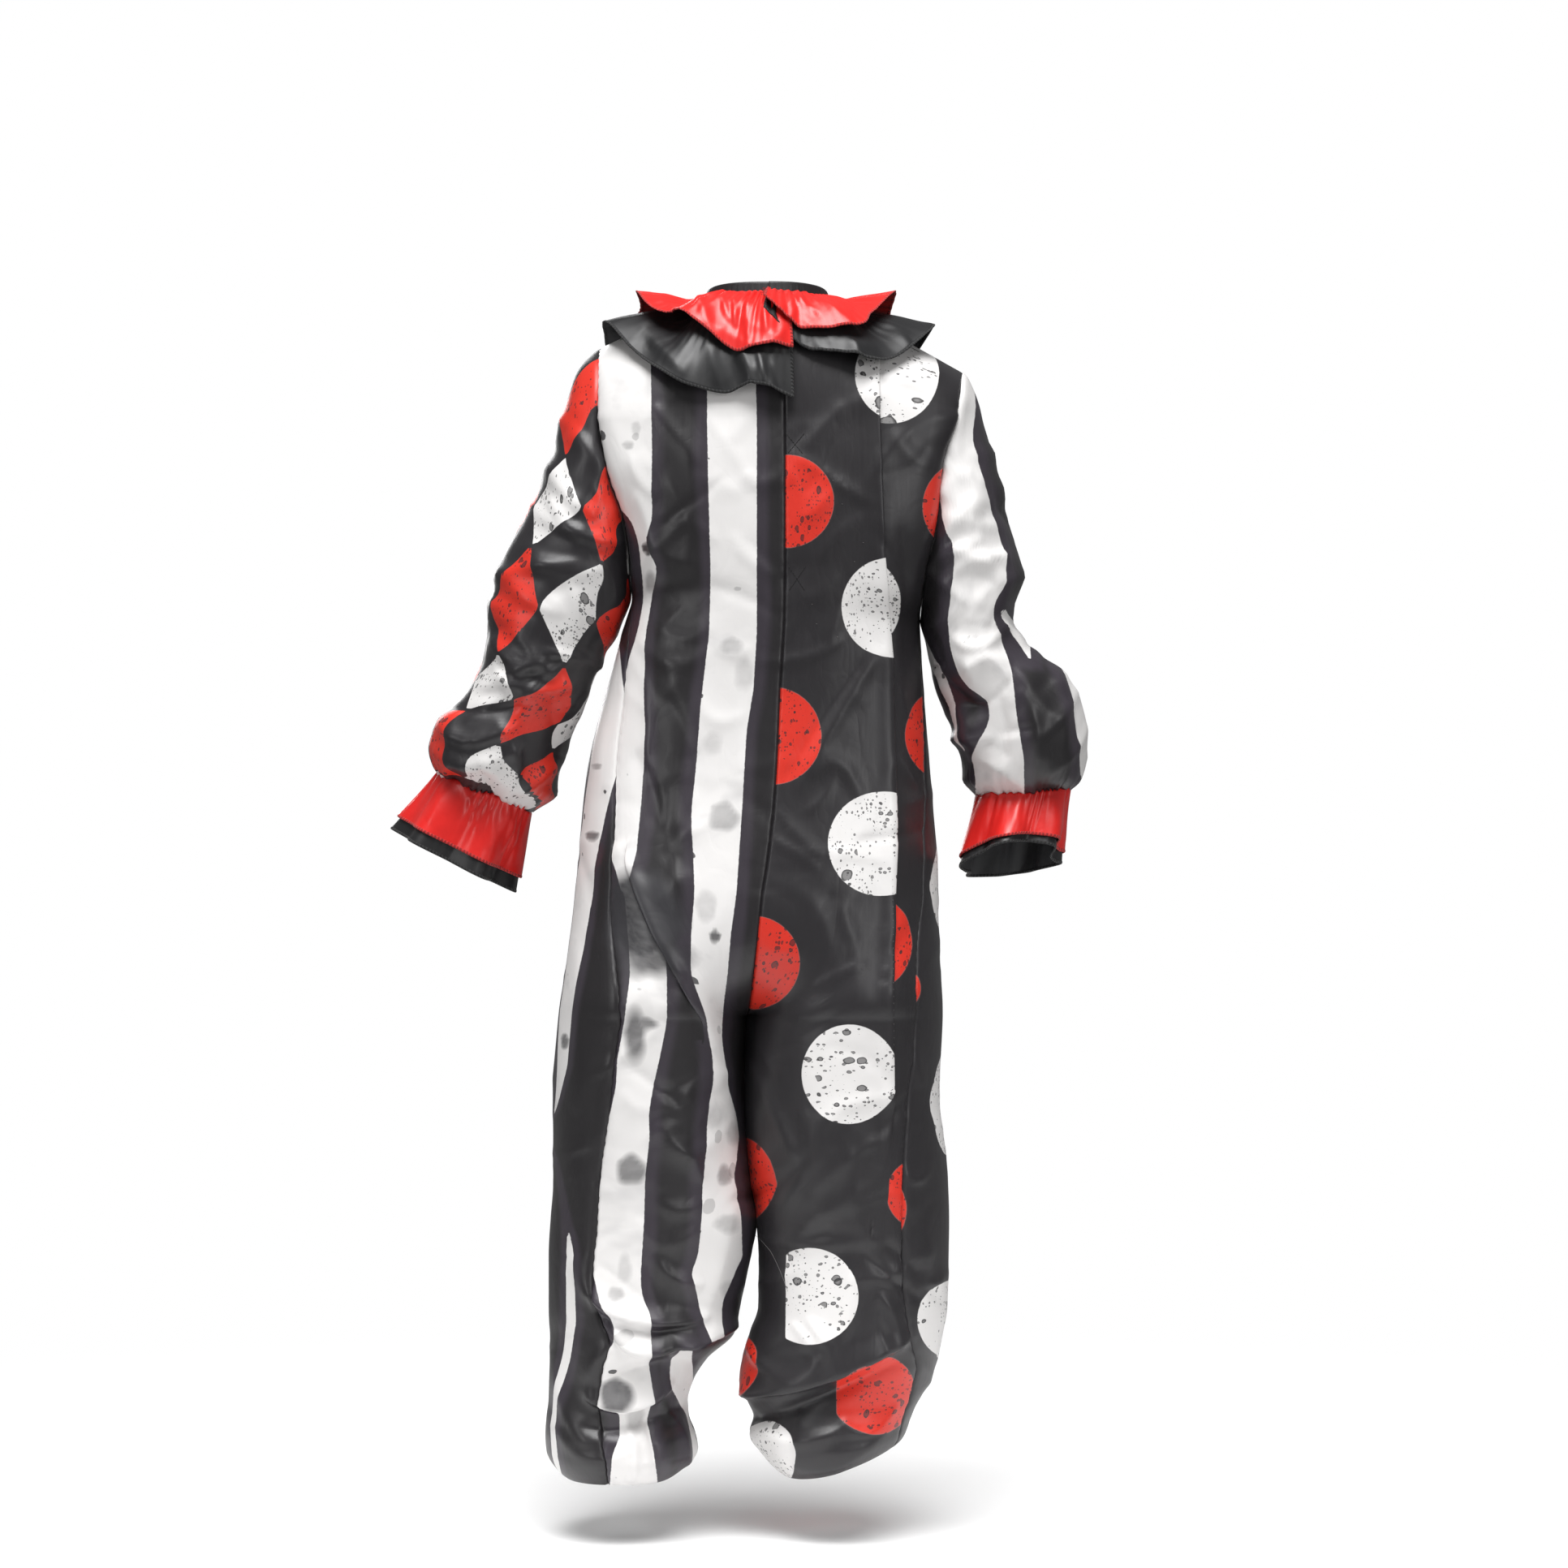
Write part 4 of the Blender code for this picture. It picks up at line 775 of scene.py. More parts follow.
def blot_darkness(view, blots):
    """The darkest blot over each point, 0 to 1, and below 0 outside the blots."""
    darkness = np.full(view.shape[:-1], -1.0)
    for b in blots:
        away = np.hypot((view[..., 0] - b.x) / b.half_width, (view[..., 1] - b.z) / b.half_height)
        angle = np.arctan2(view[..., 1] - b.z, view[..., 0] - b.x)
        ragged = away * (1 + 0.06 * np.sin(3 * angle + b.x) + 0.04 * np.sin(5 * angle + b.z))
        darkness = np.maximum(darkness, np.minimum(b.dark * ((1 - ragged) / b.soft + 0.5), b.dark))
    return darkness


def run_where_seen(view, run, rows):
    """For each row of a grid, the run at which it is seen at the x that the table gives, or as
    far beyond its outline as that x is. x grows with the run up to the outline."""
    rows = np.array(rows, dtype=float)
    outline = np.argmax(view[..., 0], axis=1)
    found = np.zeros(len(view))
    for i, last in enumerate(outline):
        x = np.interp(-view[i, last, 1], -rows[:, 0], rows[:, 1])
        seen_x = np.maximum.accumulate(view[i, :last + 1, 0])
        found[i] = np.interp(x, seen_x, run[i, :last + 1])
        found[i] += max(x - seen_x[-1], 0.0) * BEYOND_OUTLINE
    return found


def paint_left(grid, across, whole, lower):
    """The stripes on a left panel."""
    view = seen(grid)
    if lower.any():
        arm = band_reach(view, ARM_STRIPE)
        upper_layer = np.maximum(arm, band_reach(view, MIDDLE_STRIPE))
        upper_layer = np.maximum(upper_layer, band_reach(view, INNER_HEM_STRIPE))
        lower_layer = np.maximum(band_reach(view, UNDER_STRIPE), arm)
        lapped = view[..., 1] > LEFT_LAP_FOOT
        below = np.where(view[..., 1] < LEFT_LAP_FOOT, np.maximum(upper_layer, lower_layer), upper_layer)
        white = np.where(lower[None, :] & lapped, lower_layer, below)
    else:
        # measured from the side seam, where the first stripe starts as seen from behind
        from_seam = (whole[:, None] - across)[:, ::-1]
        start = run_where_seen(view[:, ::-1], from_seam, SIDE_STRIPE)
        lanes = (from_seam - start[:, None])[:, ::-1] / MILLIMETRE
        stripe = np.array(SIDE_STRIPE, dtype=float)
        width = np.interp(-view[..., 1], -stripe[:, 0], stripe[:, 2])
        before = seen(grid, "front")[..., 0]
        in_lane = np.mod(before - FRONT_STRIPE + STRIPE_PITCH / 2, STRIPE_PITCH) - STRIPE_PITCH / 2
        forward = -grid[..., 1] / MILLIMETRE
        hidden = np.minimum(STRIPE_WIDTH / 2 - np.abs(in_lane), forward - FRONT_STRIPE_START)
        beside = np.minimum(np.minimum(lanes, width - lanes), SIDE_STRIPE_END - forward)
        white = np.maximum(hidden, beside)
    stained = lower.any() | (grid[..., 1] > STAINS_END)
    blot = np.where(stained, blot_darkness(view, STRIPE_BLOTS), -1.0)
    return white, np.full_like(white, UNPRINTED), blot


# ---- the finishes that the cloths share are shader groups
def node(tree, kind, sockets=None, **settings):
    """Adds a shader node; a socket takes another node's output or a plain value."""
    made = tree.nodes.new("ShaderNode" + kind)
    for setting, value in settings.items():
        setattr(made, setting, value)
    for socket, value in (sockets or {}).items():
        if isinstance(value, bpy.types.NodeSocket):
            tree.links.new(value, made.inputs[socket])
        else:
            made.inputs[socket].default_value = value
    return made


def maths(tree, operation, *values, clamped=False):
    """The outcome of an operation on other nodes' outputs or plain values."""
    made = node(tree, "Math", dict(enumerate(values)), operation=operation, use_clamp=clamped)
    return made.outputs[0]


def noise(tree, cloth, scale, detail, **shape):
    """Noise over the cloth, 0 to 1."""
    sockets = {"Vector": cloth, "Scale": scale, "Detail": detail, **shape}
    return node(tree, "TexNoise", sockets).outputs["Fac"]


def ranged(tree, value, low, high, to_low=0.0, to_high=1.0, **settings):
    """A value between low and high, carried over to between to_low and to_high."""
    sockets = {"Value": value, "From Min": low, "From Max": high, "To Min": to_low, "To Max": to_high}
    return node(tree, "MapRange", sockets, **settings).outputs[0]


def mixed(tree, share, first, second):
    """A colour mixed from two, by a mask."""
    return node(tree, "Mix", {0: share, 6: first, 7: second}, data_type="RGBA").outputs[2]


def shader_group(name, inputs, outputs):
    """An empty node group, the outputs of its input node and the inputs of its output node."""
    tree = bpy.data.node_groups.new(name, "ShaderNodeTree")
    for socket in inputs:
        kind = "NodeSocketVector" if socket == "Cloth" else "NodeSocketFloat"
        tree.interface.new_socket(name=socket, in_out="INPUT", socket_type=kind)
    for socket in outputs:
        tree.interface.new_socket(name=socket, in_out="OUTPUT", socket_type="NodeSocketFloat")
    return tree, tree.nodes.new("NodeGroupInput").outputs, tree.nodes.new("NodeGroupOutput").inputs


def weave_group():
    """Satin's long floats: fine threads down the cloth, broken across it."""
    tree, inside, out = shader_group("satin_weave", ("Cloth", "Threads"), ("Height", "Slub"))
    scaled = node(tree, "VectorMath", {0: inside["Cloth"], "Scale": inside["Threads"]}, operation="SCALE")
    floats = node(tree, "Mapping", {"Vector": scaled.outputs[0], "Scale": (1.0, 0.16, 1.0)})
    tree.links.new(noise(tree, floats.outputs[0], 1.0, 1.0), out["Height"])
    long = node(tree, "Mapping", {"Vector": scaled.outputs[0], "Scale": (0.12, 0.006, 1.0)})
    tree.links.new(noise(tree, long.outputs[0], 1.0, 3.0), out["Slub"])
    return tree


def crinkle_group():
    """Small soft crinkles between the large creases."""
    tree, inside, out = shader_group("satin_crinkle", ("Cloth", "Per metre"), ("Height",))
    sizes = []
    for stretch, share in (((1.0, 0.5, 1.0), 1.0), ((2.3, 1.5, 1.0), 0.35)):
        turned = node(tree, "Mapping", {"Vector": inside["Cloth"], "Scale": stretch,
                                        "Rotation": (0.0, 0.0, 0.5 * share)})
        lumps = noise(tree, turned.outputs[0], inside["Per metre"], 1.5, Distortion=0.8)
        ridge = maths(tree, "ABSOLUTE", maths(tree, "SUBTRACT", lumps, 0.5))
        sizes.append(maths(tree, "MULTIPLY", ridge, share))
    tree.links.new(maths(tree, "ADD", *sizes), out["Height"])
    return tree


def ink_edge_group():
    """A printed edge: 0 outside, 1 inside, with the ink running a little into the threads."""
    tree, inside, out = shader_group("ink_edge", ("Reach", "Cloth", "Bleed"), ("Mask",))
    spread = maths(tree, "SUBTRACT", noise(tree, inside["Cloth"], 260.0, 2.0), 0.5)
    run = maths(tree, "MULTIPLY_ADD", spread, inside["Bleed"], inside["Reach"])
    tree.links.new(ranged(tree, run, -0.35, 0.35, interpolation_type="SMOOTHSTEP"), out["Mask"])
    return tree


def ink_drops_group():
    """Scattered drops of dark ink, of uneven size and shape; Share of the places hold one."""
    tree, inside, out = shader_group("ink_drops", ("Cloth", "Per metre", "Share", "Size"),
                                     ("Mask", "Depth"))
    wobble = node(tree, "TexNoise", {"Vector": inside["Cloth"], "Scale": 190.0, "Detail": 1.0})
    shift = node(tree, "VectorMath", {0: wobble.outputs["Color"], 1: (0.5, 0.5, 0.5)}, operation="SUBTRACT")
    small = node(tree, "VectorMath", {0: shift.outputs[0], "Scale": 0.0022}, operation="SCALE")
    moved = node(tree, "VectorMath", {0: inside["Cloth"], 1: small.outputs[0]}, operation="ADD")
    cells = node(tree, "TexVoronoi", {"Vector": moved.outputs[0], "Scale": inside["Per metre"],
                                      "Randomness": 1.0}, voronoi_dimensions="2D")
    chance = node(tree, "SeparateColor", {0: cells.outputs["Color"]}).outputs
    taken = maths(tree, "LESS_THAN", chance[0], inside["Share"])
    radius = maths(tree, "MULTIPLY_ADD", maths(tree, "POWER", chance[1], 2.2), inside["Size"], 0.045)
    reach = maths(tree, "SUBTRACT", radius, cells.outputs["Distance"])
    tree.links.new(maths(tree, "MULTIPLY", ranged(tree, reach, 0.0, 0.03), taken), out["Mask"])
    tree.links.new(ranged(tree, reach, 0.03, 0.14, 1.0, 0.72), out["Depth"])
    return tree


def ink_wash_group():
    """A paler wash of ink along a printed edge, within Width of it and uneven down the cloth."""
    tree, inside, out = shader_group("ink_wash", ("Reach", "Cloth", "Width"), ("Mask",))
    drawn = node(tree, "Mapping", {"Vector": inside["Cloth"], "Scale": (14.0, 5.0, 1.0)})
    width = maths(tree, "MULTIPLY", noise(tree, drawn.outputs[0], 1.0, 2.5), inside["Width"])
    beyond = maths(tree, "ADD", width, inside["Reach"])
    tree.links.new(ranged(tree, beyond, -4.5, 4.5, interpolation_type="SMOOTHSTEP"), out["Mask"])
    return tree


WEAVE = weave_group()
CRINKLE = crinkle_group()
INK_EDGE = ink_edge_group()
INK_DROPS = ink_drops_group()
INK_WASH = ink_wash_group()


def new_material(name):
    """A material with its tree, its shader and the map that runs over the cloth."""
    material = bpy.data.materials.new(name)
    material.use_nodes = True
    tree = material.node_tree
    return material, tree, tree.nodes["Principled BSDF"], node(tree, "UVMap", uv_map="cloth").outputs[0]


def new_satin(name, roughness, sheen=0.01):
    """A satin material with its weave and crinkles in place; the caller links its colour."""
    material, tree, shader, cloth = new_material(name)
    weave = node(tree, "Group", {"Cloth": cloth, "Threads": 3200.0}, node_tree=WEAVE)
    crinkle = node(tree, "Group", {"Cloth": cloth, "Per metre": 24.0}, node_tree=CRINKLE)
    threads = node(tree, "Bump", {"Height": weave.outputs["Height"], "Strength": 0.09,
                                  "Distance": 0.00012})
    surface = node(tree, "Bump", {"Height": crinkle.outputs["Height"], "Strength": 0.42,
                                  "Distance": 0.0024, "Normal": threads.outputs[0]})
    tree.links.new(surface.outputs[0], shader.inputs["Normal"])
    gloss = ranged(tree, weave.outputs["Slub"], 0.3, 0.7, roughness - 0.02, roughness + 0.03)
    tree.links.new(gloss, shader.inputs["Roughness"])
    shader.inputs["Sheen Weight"].default_value = sheen
    shader.inputs["Sheen Roughness"].default_value = 0.45
    shader.inputs["Specular IOR Level"].default_value = 0.5
    return material, tree, shader, cloth


def printed_value(tree, name):
    """What add_print stored: how far inside the white or the red, or the blots' darkness."""
    return node(tree, "Attribute", attribute_name=name).outputs["Fac"]


def inked(tree, cloth, reach, bleed):
    """The mask of a print, from how far inside it each point lies."""
    return node(tree, "Group", {"Reach": reach, "Cloth": cloth, "Bleed": bleed},
                node_tree=INK_EDGE).outputs[0]


def dropped(tree, cloth, per_metre, share, size):
    """A group of ink drops: their mask and their depth."""
    return node(tree, "Group", {"Cloth": cloth, "Per metre": per_metre, "Share": share, "Size": size},
                node_tree=INK_DROPS).outputs


WHITE = (0.77, 0.755, 0.745, 1.0)
CHARCOAL = (0.017, 0.0155, 0.017, 1.0)
WASH = (0.038, 0.032, 0.041, 1.0)
STAIN = (0.56, 0.55, 0.55, 1.0)
BLOT = (0.034, 0.033, 0.037, 1.0)
INK = (0.020, 0.019, 0.021, 1.0)
PRINTED_RED = (0.66, 0.030, 0.016, 1.0)


def striped_satin():
    """White with soft grey stains, charcoal with a purple-grey wash along its edges."""
    material, tree, shader, cloth = new_satin("striped_satin", 0.37)
    reach = printed_value(tree, "white")
    mask = inked(tree, cloth, reach, 0.9)
    wash = node(tree, "Group", {"Reach": reach, "Cloth": cloth, "Width": 20.0}, node_tree=INK_WASH)
    stain = ranged(tree, noise(tree, cloth, 17.0, 3.0, Roughness=0.62), 0.57, 0.70, 0.0, 0.55)
    dark = mixed(tree, wash.outputs[0], CHARCOAL, WASH)
    pale = mixed(tree, stain, WHITE, STAIN)
    for per_metre, share, size, darkness in ((34.0, 0.10, 0.22, 0.30), (52.0, 0.035, 0.20, 0.9)):
        drops = dropped(tree, cloth, per_metre, share, size)
        pale = mixed(tree, maths(tree, "MULTIPLY", drops["Mask"], darkness), pale, BLOT)
    colour = mixed(tree, mask, dark, pale)
    ragged = maths(tree, "MULTIPLY_ADD", noise(tree, cloth, 150.0, 2.0), 0.14, printed_value(tree, "blot"))
    colour = mixed(tree, maths(tree, "SUBTRACT", ragged, 0.07, clamped=True), colour, BLOT)
    tree.links.new(colour, shader.inputs["Base Color"])
    return material


def wrong_side(name, tone):
    """The unprinted side of a satin: duller, with the print showing through a little."""
    material, tree, shader, cloth = new_satin(name, 0.62, sheen=0.02)
    paler = [min(part * 1.7, 0.8) for part in tone[:3]]
    colour = mixed(tree, inked(tree, cloth, printed_value(tree, "white"), 3.0), tone, (*paler, 1.0))
    tree.links.new(colour, shader.inputs["Base Color"])
    return material


STRIPED = striped_satin()
PRINT_BACK = wrong_side("printed_satin_wrong_side", (0.34, 0.33, 0.34, 1.0))
for face, width, area in (("back", 0.21, 0.18), ("front", 0.42, 0.32)):
    panel = make_panel("left", face, paint_left, STRIPED)


# ================================================================ right half of the suit
# Back and front panels of the same satin printed charcoal with white and red dots, each with a
# thin pale outline and splashes of dark ink. A lengthwise fold laps over itself down the back.

class Dot(NamedTuple):
    """A printed dot as seen, in millimetres. part is where it shows: on the back's upper layer
    (centre) or lower layer (side) of the lapped fold, or on the front panel (front)."""
    ink: str
    part: str
    x: float
    z: float
    half_width: float
    half_height: float
    cut: float = 500.0     # nothing is printed left of this, where a pleat takes the rest


DOTS = [Dot(*row) for row in (
    # ink    part       x     z    half_w half_h
    ("white", "centre", -121, -64, 43, 43),
    ("white", "side", -109, -65, 43, 43),
    ("red", "centre", -17, -177, 42, 41),
    ("white", "centre", -111, -271, 45, 45),
    ("white", "side", -74, -267, 44, 44),
    ("red", "centre", -5, -385, 43, 43),
    ("white", "centre", -100, -481, 46, 46),
    ("red", "centre", 12, -586, 41, 41),
    ("white", "centre", -73, -685, 42, 44),
    ("red", "centre", 33, -780, 41, 41),
    ("white", "centre", -38, -882, 43, 43, -17),
    ("red", "centre", 30, -940, 25, 26),
    ("red", "centre", -94, -968, 37, 36, -62),
    ("white", "centre", 0, -1025, 26, 32),
    ("red", "side", -163, -383, 42, 42),
    ("red", "side", -180, -182, 42, 42),
    ("red", "side", -83, -569, 45, 45),
    ("red", "side", -137, -791, 31, 31),
    ("white", "front", -180, -518, 36, 30),
    ("red", "front", -76, -806, 47, 47),
    ("white", "front", -169, -903, 36, 36),
    ("white", "front", -189, -710, 45, 45),
    ("red", "front", -112, -609, 24, 24),
)]
FRONT_DOT_RADIUS = 43.0
FRONT_DOT_COLUMNS = (-62.0, -150.0)     # white and red by turns down each column
FRONT_DOT_STEP = 206.0
FRONT_DOT_TOP = -130.0
RIGHT_LAP_FOOT = -760      # below this the fold is open and the whole cloth is one layer
FRONT_DOT_ROWS = 6
HALF_SEEN = -150           # a front dot left of this is seen in part only
FRONT_DOTS_END = -0.045    # what is seen of the front lies behind this y


def dot_reach(view, x, z, half_width, half_height, cut=500.0):
    """Millimetres inside a dot."""
    away = np.hypot((view[..., 0] - x) / half_width, (view[..., 1] - z) / half_height)
    return np.minimum((1 - away) * min(half_width, half_height), cut - view[..., 0])


def over_cloth(grid, off):
    """Millimetres in a straight line from the grid's point where off is least."""
    return np.linalg.norm(grid - grid[np.unravel_index(np.argmin(off), off.shape)], axis=2) / MILLIMETRE


def paint_right(grid, across, whole, lower):
    """The dots on a right panel."""
    view = seen(grid)
    inks = {ink: np.full(view.shape[:-1], UNPRINTED) for ink in ("white", "red")}
    if lower.any():
        layers = {"centre": ~lower[None, :] | (view[..., 1] < RIGHT_LAP_FOOT), "side": lower[None, :]}
        for dot in DOTS:
            if dot.part in layers:
                reach = np.where(layers[dot.part], dot_reach(view, *dot[2:]), UNPRINTED)
                inks[dot.ink] = np.maximum(inks[dot.ink], reach)
    else:
        behind = grid[..., 1] > FRONT_DOTS_END
        for dot in (d for d in DOTS if d.part == "front"):
            reach = np.where(behind, dot_reach(view, *dot[2:]), UNPRINTED)
            if dot.x < HALF_SEEN:
                # past the outline it goes on round its middle, over the cloth
                off = np.hypot(view[..., 0] - dot.x, view[..., 1] - dot.z)
                away = over_cloth(grid, off + np.where(behind, 0, 500))
                reach = np.maximum(reach, max(dot.half_height, 36) - away)
            inks[dot.ink] = np.maximum(inks[dot.ink], reach)
        before = seen(grid, "front")
        for column, x in enumerate(FRONT_DOT_COLUMNS):
            for row in range(FRONT_DOT_ROWS):
                z = FRONT_DOT_TOP - FRONT_DOT_STEP * row - FRONT_DOT_STEP / 2 * column
                ink = "white" if (row + column) % 2 == 0 else "red"
                off = np.hypot(before[..., 0] - x - 6 * sin(2.1 * row), before[..., 1] - z)
                reach = FRONT_DOT_RADIUS - over_cloth(grid, off + np.where(grid[..., 1] < 0, 0, 500))
                # the ones seen from behind keep their place, and no other dot comes near them
                if np.maximum(inks["white"], inks["red"])[reach > -8].max() < 0:
                    inks[ink] = np.maximum(inks[ink], reach)
    return inks["white"], inks["red"], np.zeros(view.shape[:-1])


def printed_shapes(name, outline):
    """Charcoal satin with white and red shapes, inked over with drops; outline is the width of
    the pale line around the shapes, in millimetres."""
    material, tree, shader, cloth = new_satin(name, 0.39)
    white = inked(tree, cloth, printed_value(tree, "white"), 0.5)
    red_reach = printed_value(tree, "red")
    red = inked(tree, cloth, red_reach, 0.5)
    rim = inked(tree, cloth, maths(tree, "ADD", red_reach, outline), 0.5)
    colour = mixed(tree, noise(tree, cloth, 9.0, 2.0), CHARCOAL, (0.024, 0.022, 0.025, 1.0))
    for mask, tone in ((rim, (0.24, 0.10, 0.095, 1.0)), (red, PRINTED_RED), (white, WHITE)):
        colour = mixed(tree, mask, colour, tone)
    crowd = ranged(tree, noise(tree, cloth, 26.0, 1.0), 0.38, 0.62, 0.08, 0.75)
    for per_metre, share, size in ((62.0, 0.30, 0.34), (125.0, 0.62, 0.40), (300.0, 0.9, 0.42)):
        drops = dropped(tree, cloth, per_metre, maths(tree, "MULTIPLY", crowd, share), size)
        colour = mixed(tree, maths(tree, "MULTIPLY", drops["Mask"], drops["Depth"]), colour, INK)
    tree.links.new(colour, shader.inputs["Base Color"])
    return material


DOTTED = printed_shapes("dotted_satin", 0.5)
for face, width, area in (("back", 0.24, 0.20), ("front", 0.40, 0.29)):
    panel = make_panel("right", face, paint_right, DOTTED)


# ================================================================ sleeves
# Set-in sleeves, each one tube of satin from the armhole to an elastic at the wrist: harlequin
# diamonds on the left one, stripes on the right one.

class SleeveRing(NamedTuple):
    """A ring of a sleeve: its outer and inner points in the back view, its middle's y, and half
    its depth from front to back."""
    outer_x: float
    outer_z: float
    inner_x: float
    inner_z: float
    y: float
    depth: float


SLEEVE_RINGS = {side: [SleeveRing(*row) for row in table] for side, table in {
    "left": [
        # outer_x outer_z inner_x inner_z  y       depth
        (0.1680, -0.0600, 0.1215, -0.2660, -0.002, 0.060),
        (0.1814, -0.1060, 0.1245, -0.2740, -0.002, 0.064),
        (0.1987, -0.1640, 0.1290, -0.2840, -0.001, 0.064),
        (0.2190, -0.2010, 0.1330, -0.2940, 0.000, 0.062),
        (0.2390, -0.2400, 0.1380, -0.3040, 0.000, 0.060),
        (0.2470, -0.2880, 0.1460, -0.3180, -0.002, 0.058),
        (0.2540, -0.3240, 0.1550, -0.3400, -0.006, 0.056),
        (0.2690, -0.3500, 0.1640, -0.3610, -0.010, 0.056),
        (0.2950, -0.3740, 0.1760, -0.3880, -0.016, 0.060),
        (0.3015, -0.3960, 0.1865, -0.4180, -0.022, 0.061),
        (0.2970, -0.4110, 0.1890, -0.4370, -0.026, 0.054),
        (0.2930, -0.4160, 0.2100, -0.4520, -0.029, 0.038),
    ],
    "right": [
        (-0.1860, -0.0850, -0.1395, -0.2920, -0.002, 0.062),
        (-0.1940, -0.1210, -0.1415, -0.3000, -0.002, 0.066),
        (-0.2060, -0.1640, -0.1430, -0.3080, -0.001, 0.066),
        (-0.2170, -0.2040, -0.1445, -0.3160, 0.000, 0.064),
        (-0.2280, -0.2400, -0.1460, -0.3240, 0.002, 0.062),
        (-0.2150, -0.2770, -0.1475, -0.3340, 0.004, 0.058),
        (-0.2280, -0.3040, -0.1500, -0.3440, 0.004, 0.058),
        (-0.2590, -0.3240, -0.1545, -0.3560, 0.002, 0.060),
        (-0.2720, -0.3450, -0.1625, -0.3690, 0.000, 0.062),
        (-0.2830, -0.3770, -0.1700, -0.3890, -0.003, 0.064),
        (-0.2830, -0.4020, -0.1750, -0.4090, -0.005, 0.062),
        (-0.2770, -0.4240, -0.1745, -0.4230, -0.007, 0.052),
        (-0.2686, -0.4310, -0.1860, -0.4370, -0.008, 0.038),
    ],
}.items()}
ARMHOLE_STANDOFF = 0.0016
SLEEVE_COLUMNS = 132
SLEEVE_STEP = 0.0031
SLEEVE_SAMPLES = 400
ARMHOLE_SAMPLES = 24       # for each level that the armhole spans
SLEEVE_CREASING = 1.7      # how far the sleeve's creases stand out, against their table
SLEEVE_SMOOTHING = 14      # rounds the elbow
SLEEVE_EASE = 0.12         # the smoothing grows over this share, and is gone before the gathers
GATHERS_START = 0.82
SEAM_ALLOWANCE = 0.003
SEAM_TUCK = 0.0015
GATHER_REACH = 0.030       # the elastic's gathers run this far up the sleeve
GATHER_HEIGHT = 0.0019
GATHERS = 34
GATHER_PHASE = {"left": 1.0, "right": 2.6}

SLEEVE_CREASES = {
    "left": crease_set(back=[
        (196, -140, 176, -172, 150, -190, 9, 3.0),
        (190, -176, 168, -204, 126, -214, 8, 3.4),
        (178, -120, 158, -132, 140, -158, 9, 2.0),
        (214, -212, 190, -238, 148, -236, 9, 2.4),
        (236, -232, 214, -262, 180, -276, 8, 2.2),
        (150, -226, 136, -260, 140, -300, 8, 2.0),
        (246, -292, 226, -318, 196, -324, 8, 3.2),
        (242, -318, 216, -344, 178, -338, 8, 3.2),
        (200, -344, 188, -372, 190, -408, 8, -2.4),
        (290, -372, 262, -388, 220, -372, 8, 3.4, 1.0),
        (296, -396, 262, -408, 218, -394, 8, 3.0, 1.0),
        (240, -372, 226, -396, 222, -420, 7, 2.4),
        (186, -408, 204, -424, 222, -436, 6, 3.0),
    ], front=[
        (200, -150, 176, -180, 140, -196, 10, 3.2),
        (230, -226, 196, -252, 150, -250, 10, 3.0),
        (246, -296, 214, -324, 166, -326, 10, 3.4),
        (286, -366, 244, -382, 190, -380, 9, 3.2),
        (296, -398, 252, -414, 204, -418, 8, 2.8),
    ]),
    "right": crease_set(back=[
        (-156, -190, -180, -196, -204, -200, 6, 1.8),
        (-166, -216, -190, -228, -212, -222, 7, 3.4),
        (-168, -240, -186, -232, -204, -246, 6, 2.2),
        (-200, -130, -184, -176, -178, -216, 9, 1.8),
        (-160, -150, -164, -180, -158, -214, 8, 1.8),
        (-166, -296, -188, -306, -212, -286, 7, 3.4),
        (-176, -334, -194, -316, -216, -338, 7, 3.2),
        (-200, -284, -214, -292, -228, -306, 6, 3.0),
        (-152, -330, -172, -352, -196, -362, 8, -2.8),
        (-168, -356, -182, -384, -186, -410, 8, 2.8),
        (-222, -344, -236, -372, -238, -408, 9, 3.0),
        (-254, -326, -262, -362, -262, -404, 8, 2.6),
        (-206, -350, -210, -382, -206, -414, 7, -2.0),
    ], front=[
        (-160, -190, -184, -206, -214, -204, 9, 2.8),
        (-156, -270, -186, -286, -218, -276, 9, 3.2),
        (-166, -330, -206, -346, -258, -330, 9, 3.4),
        (-182, -380, -222, -394, -272, -380, 9, 3.0),
    ]),
}
for side, span, seed in (("left", (290, 130, -90, -430), 21), ("right", (-145, -285, -90, -425), 23)):
    SLEEVE_CREASES[side]["back"] += scattered_creases(*span, 80, seed, 2.2)
    SLEEVE_CREASES[side]["front"] += scattered_creases(*span, 60, seed + 1, 2.2)


def line_run(points):
    """Lengths along a line of points from its first one."""
    return np.concatenate([[0.0], np.cumsum(np.linalg.norm(np.diff(points, axis=0), axis=1))])


def along_line(points, lengths):
    """The points at these lengths along a line."""
    run = line_run(points)
    return np.stack([np.interp(lengths, run, points[:, axis]) for axis in range(3)], axis=1)


def resample(points, count):
    """Points spaced evenly along a line, with both of its ends."""
    return along_line(points, np.linspace(0.0, line_run(points)[-1], count))


def ring_points(outer_x, outer_z, inner_x, inner_z, y, depth, columns, reach=1.0):
    """An oval ring; it starts at its outer point and goes round by the back."""
    angle = np.arange(columns) * tau / columns
    outer = np.array([outer_x, y, outer_z])
    inner = np.array([inner_x, y, inner_z])
    return ((outer + inner) / 2 + (reach * np.cos(angle))[:, None] * (outer - inner) / 2
            + (reach * np.sin(angle))[:, None] * np.array([0.0, depth, 0.0]))


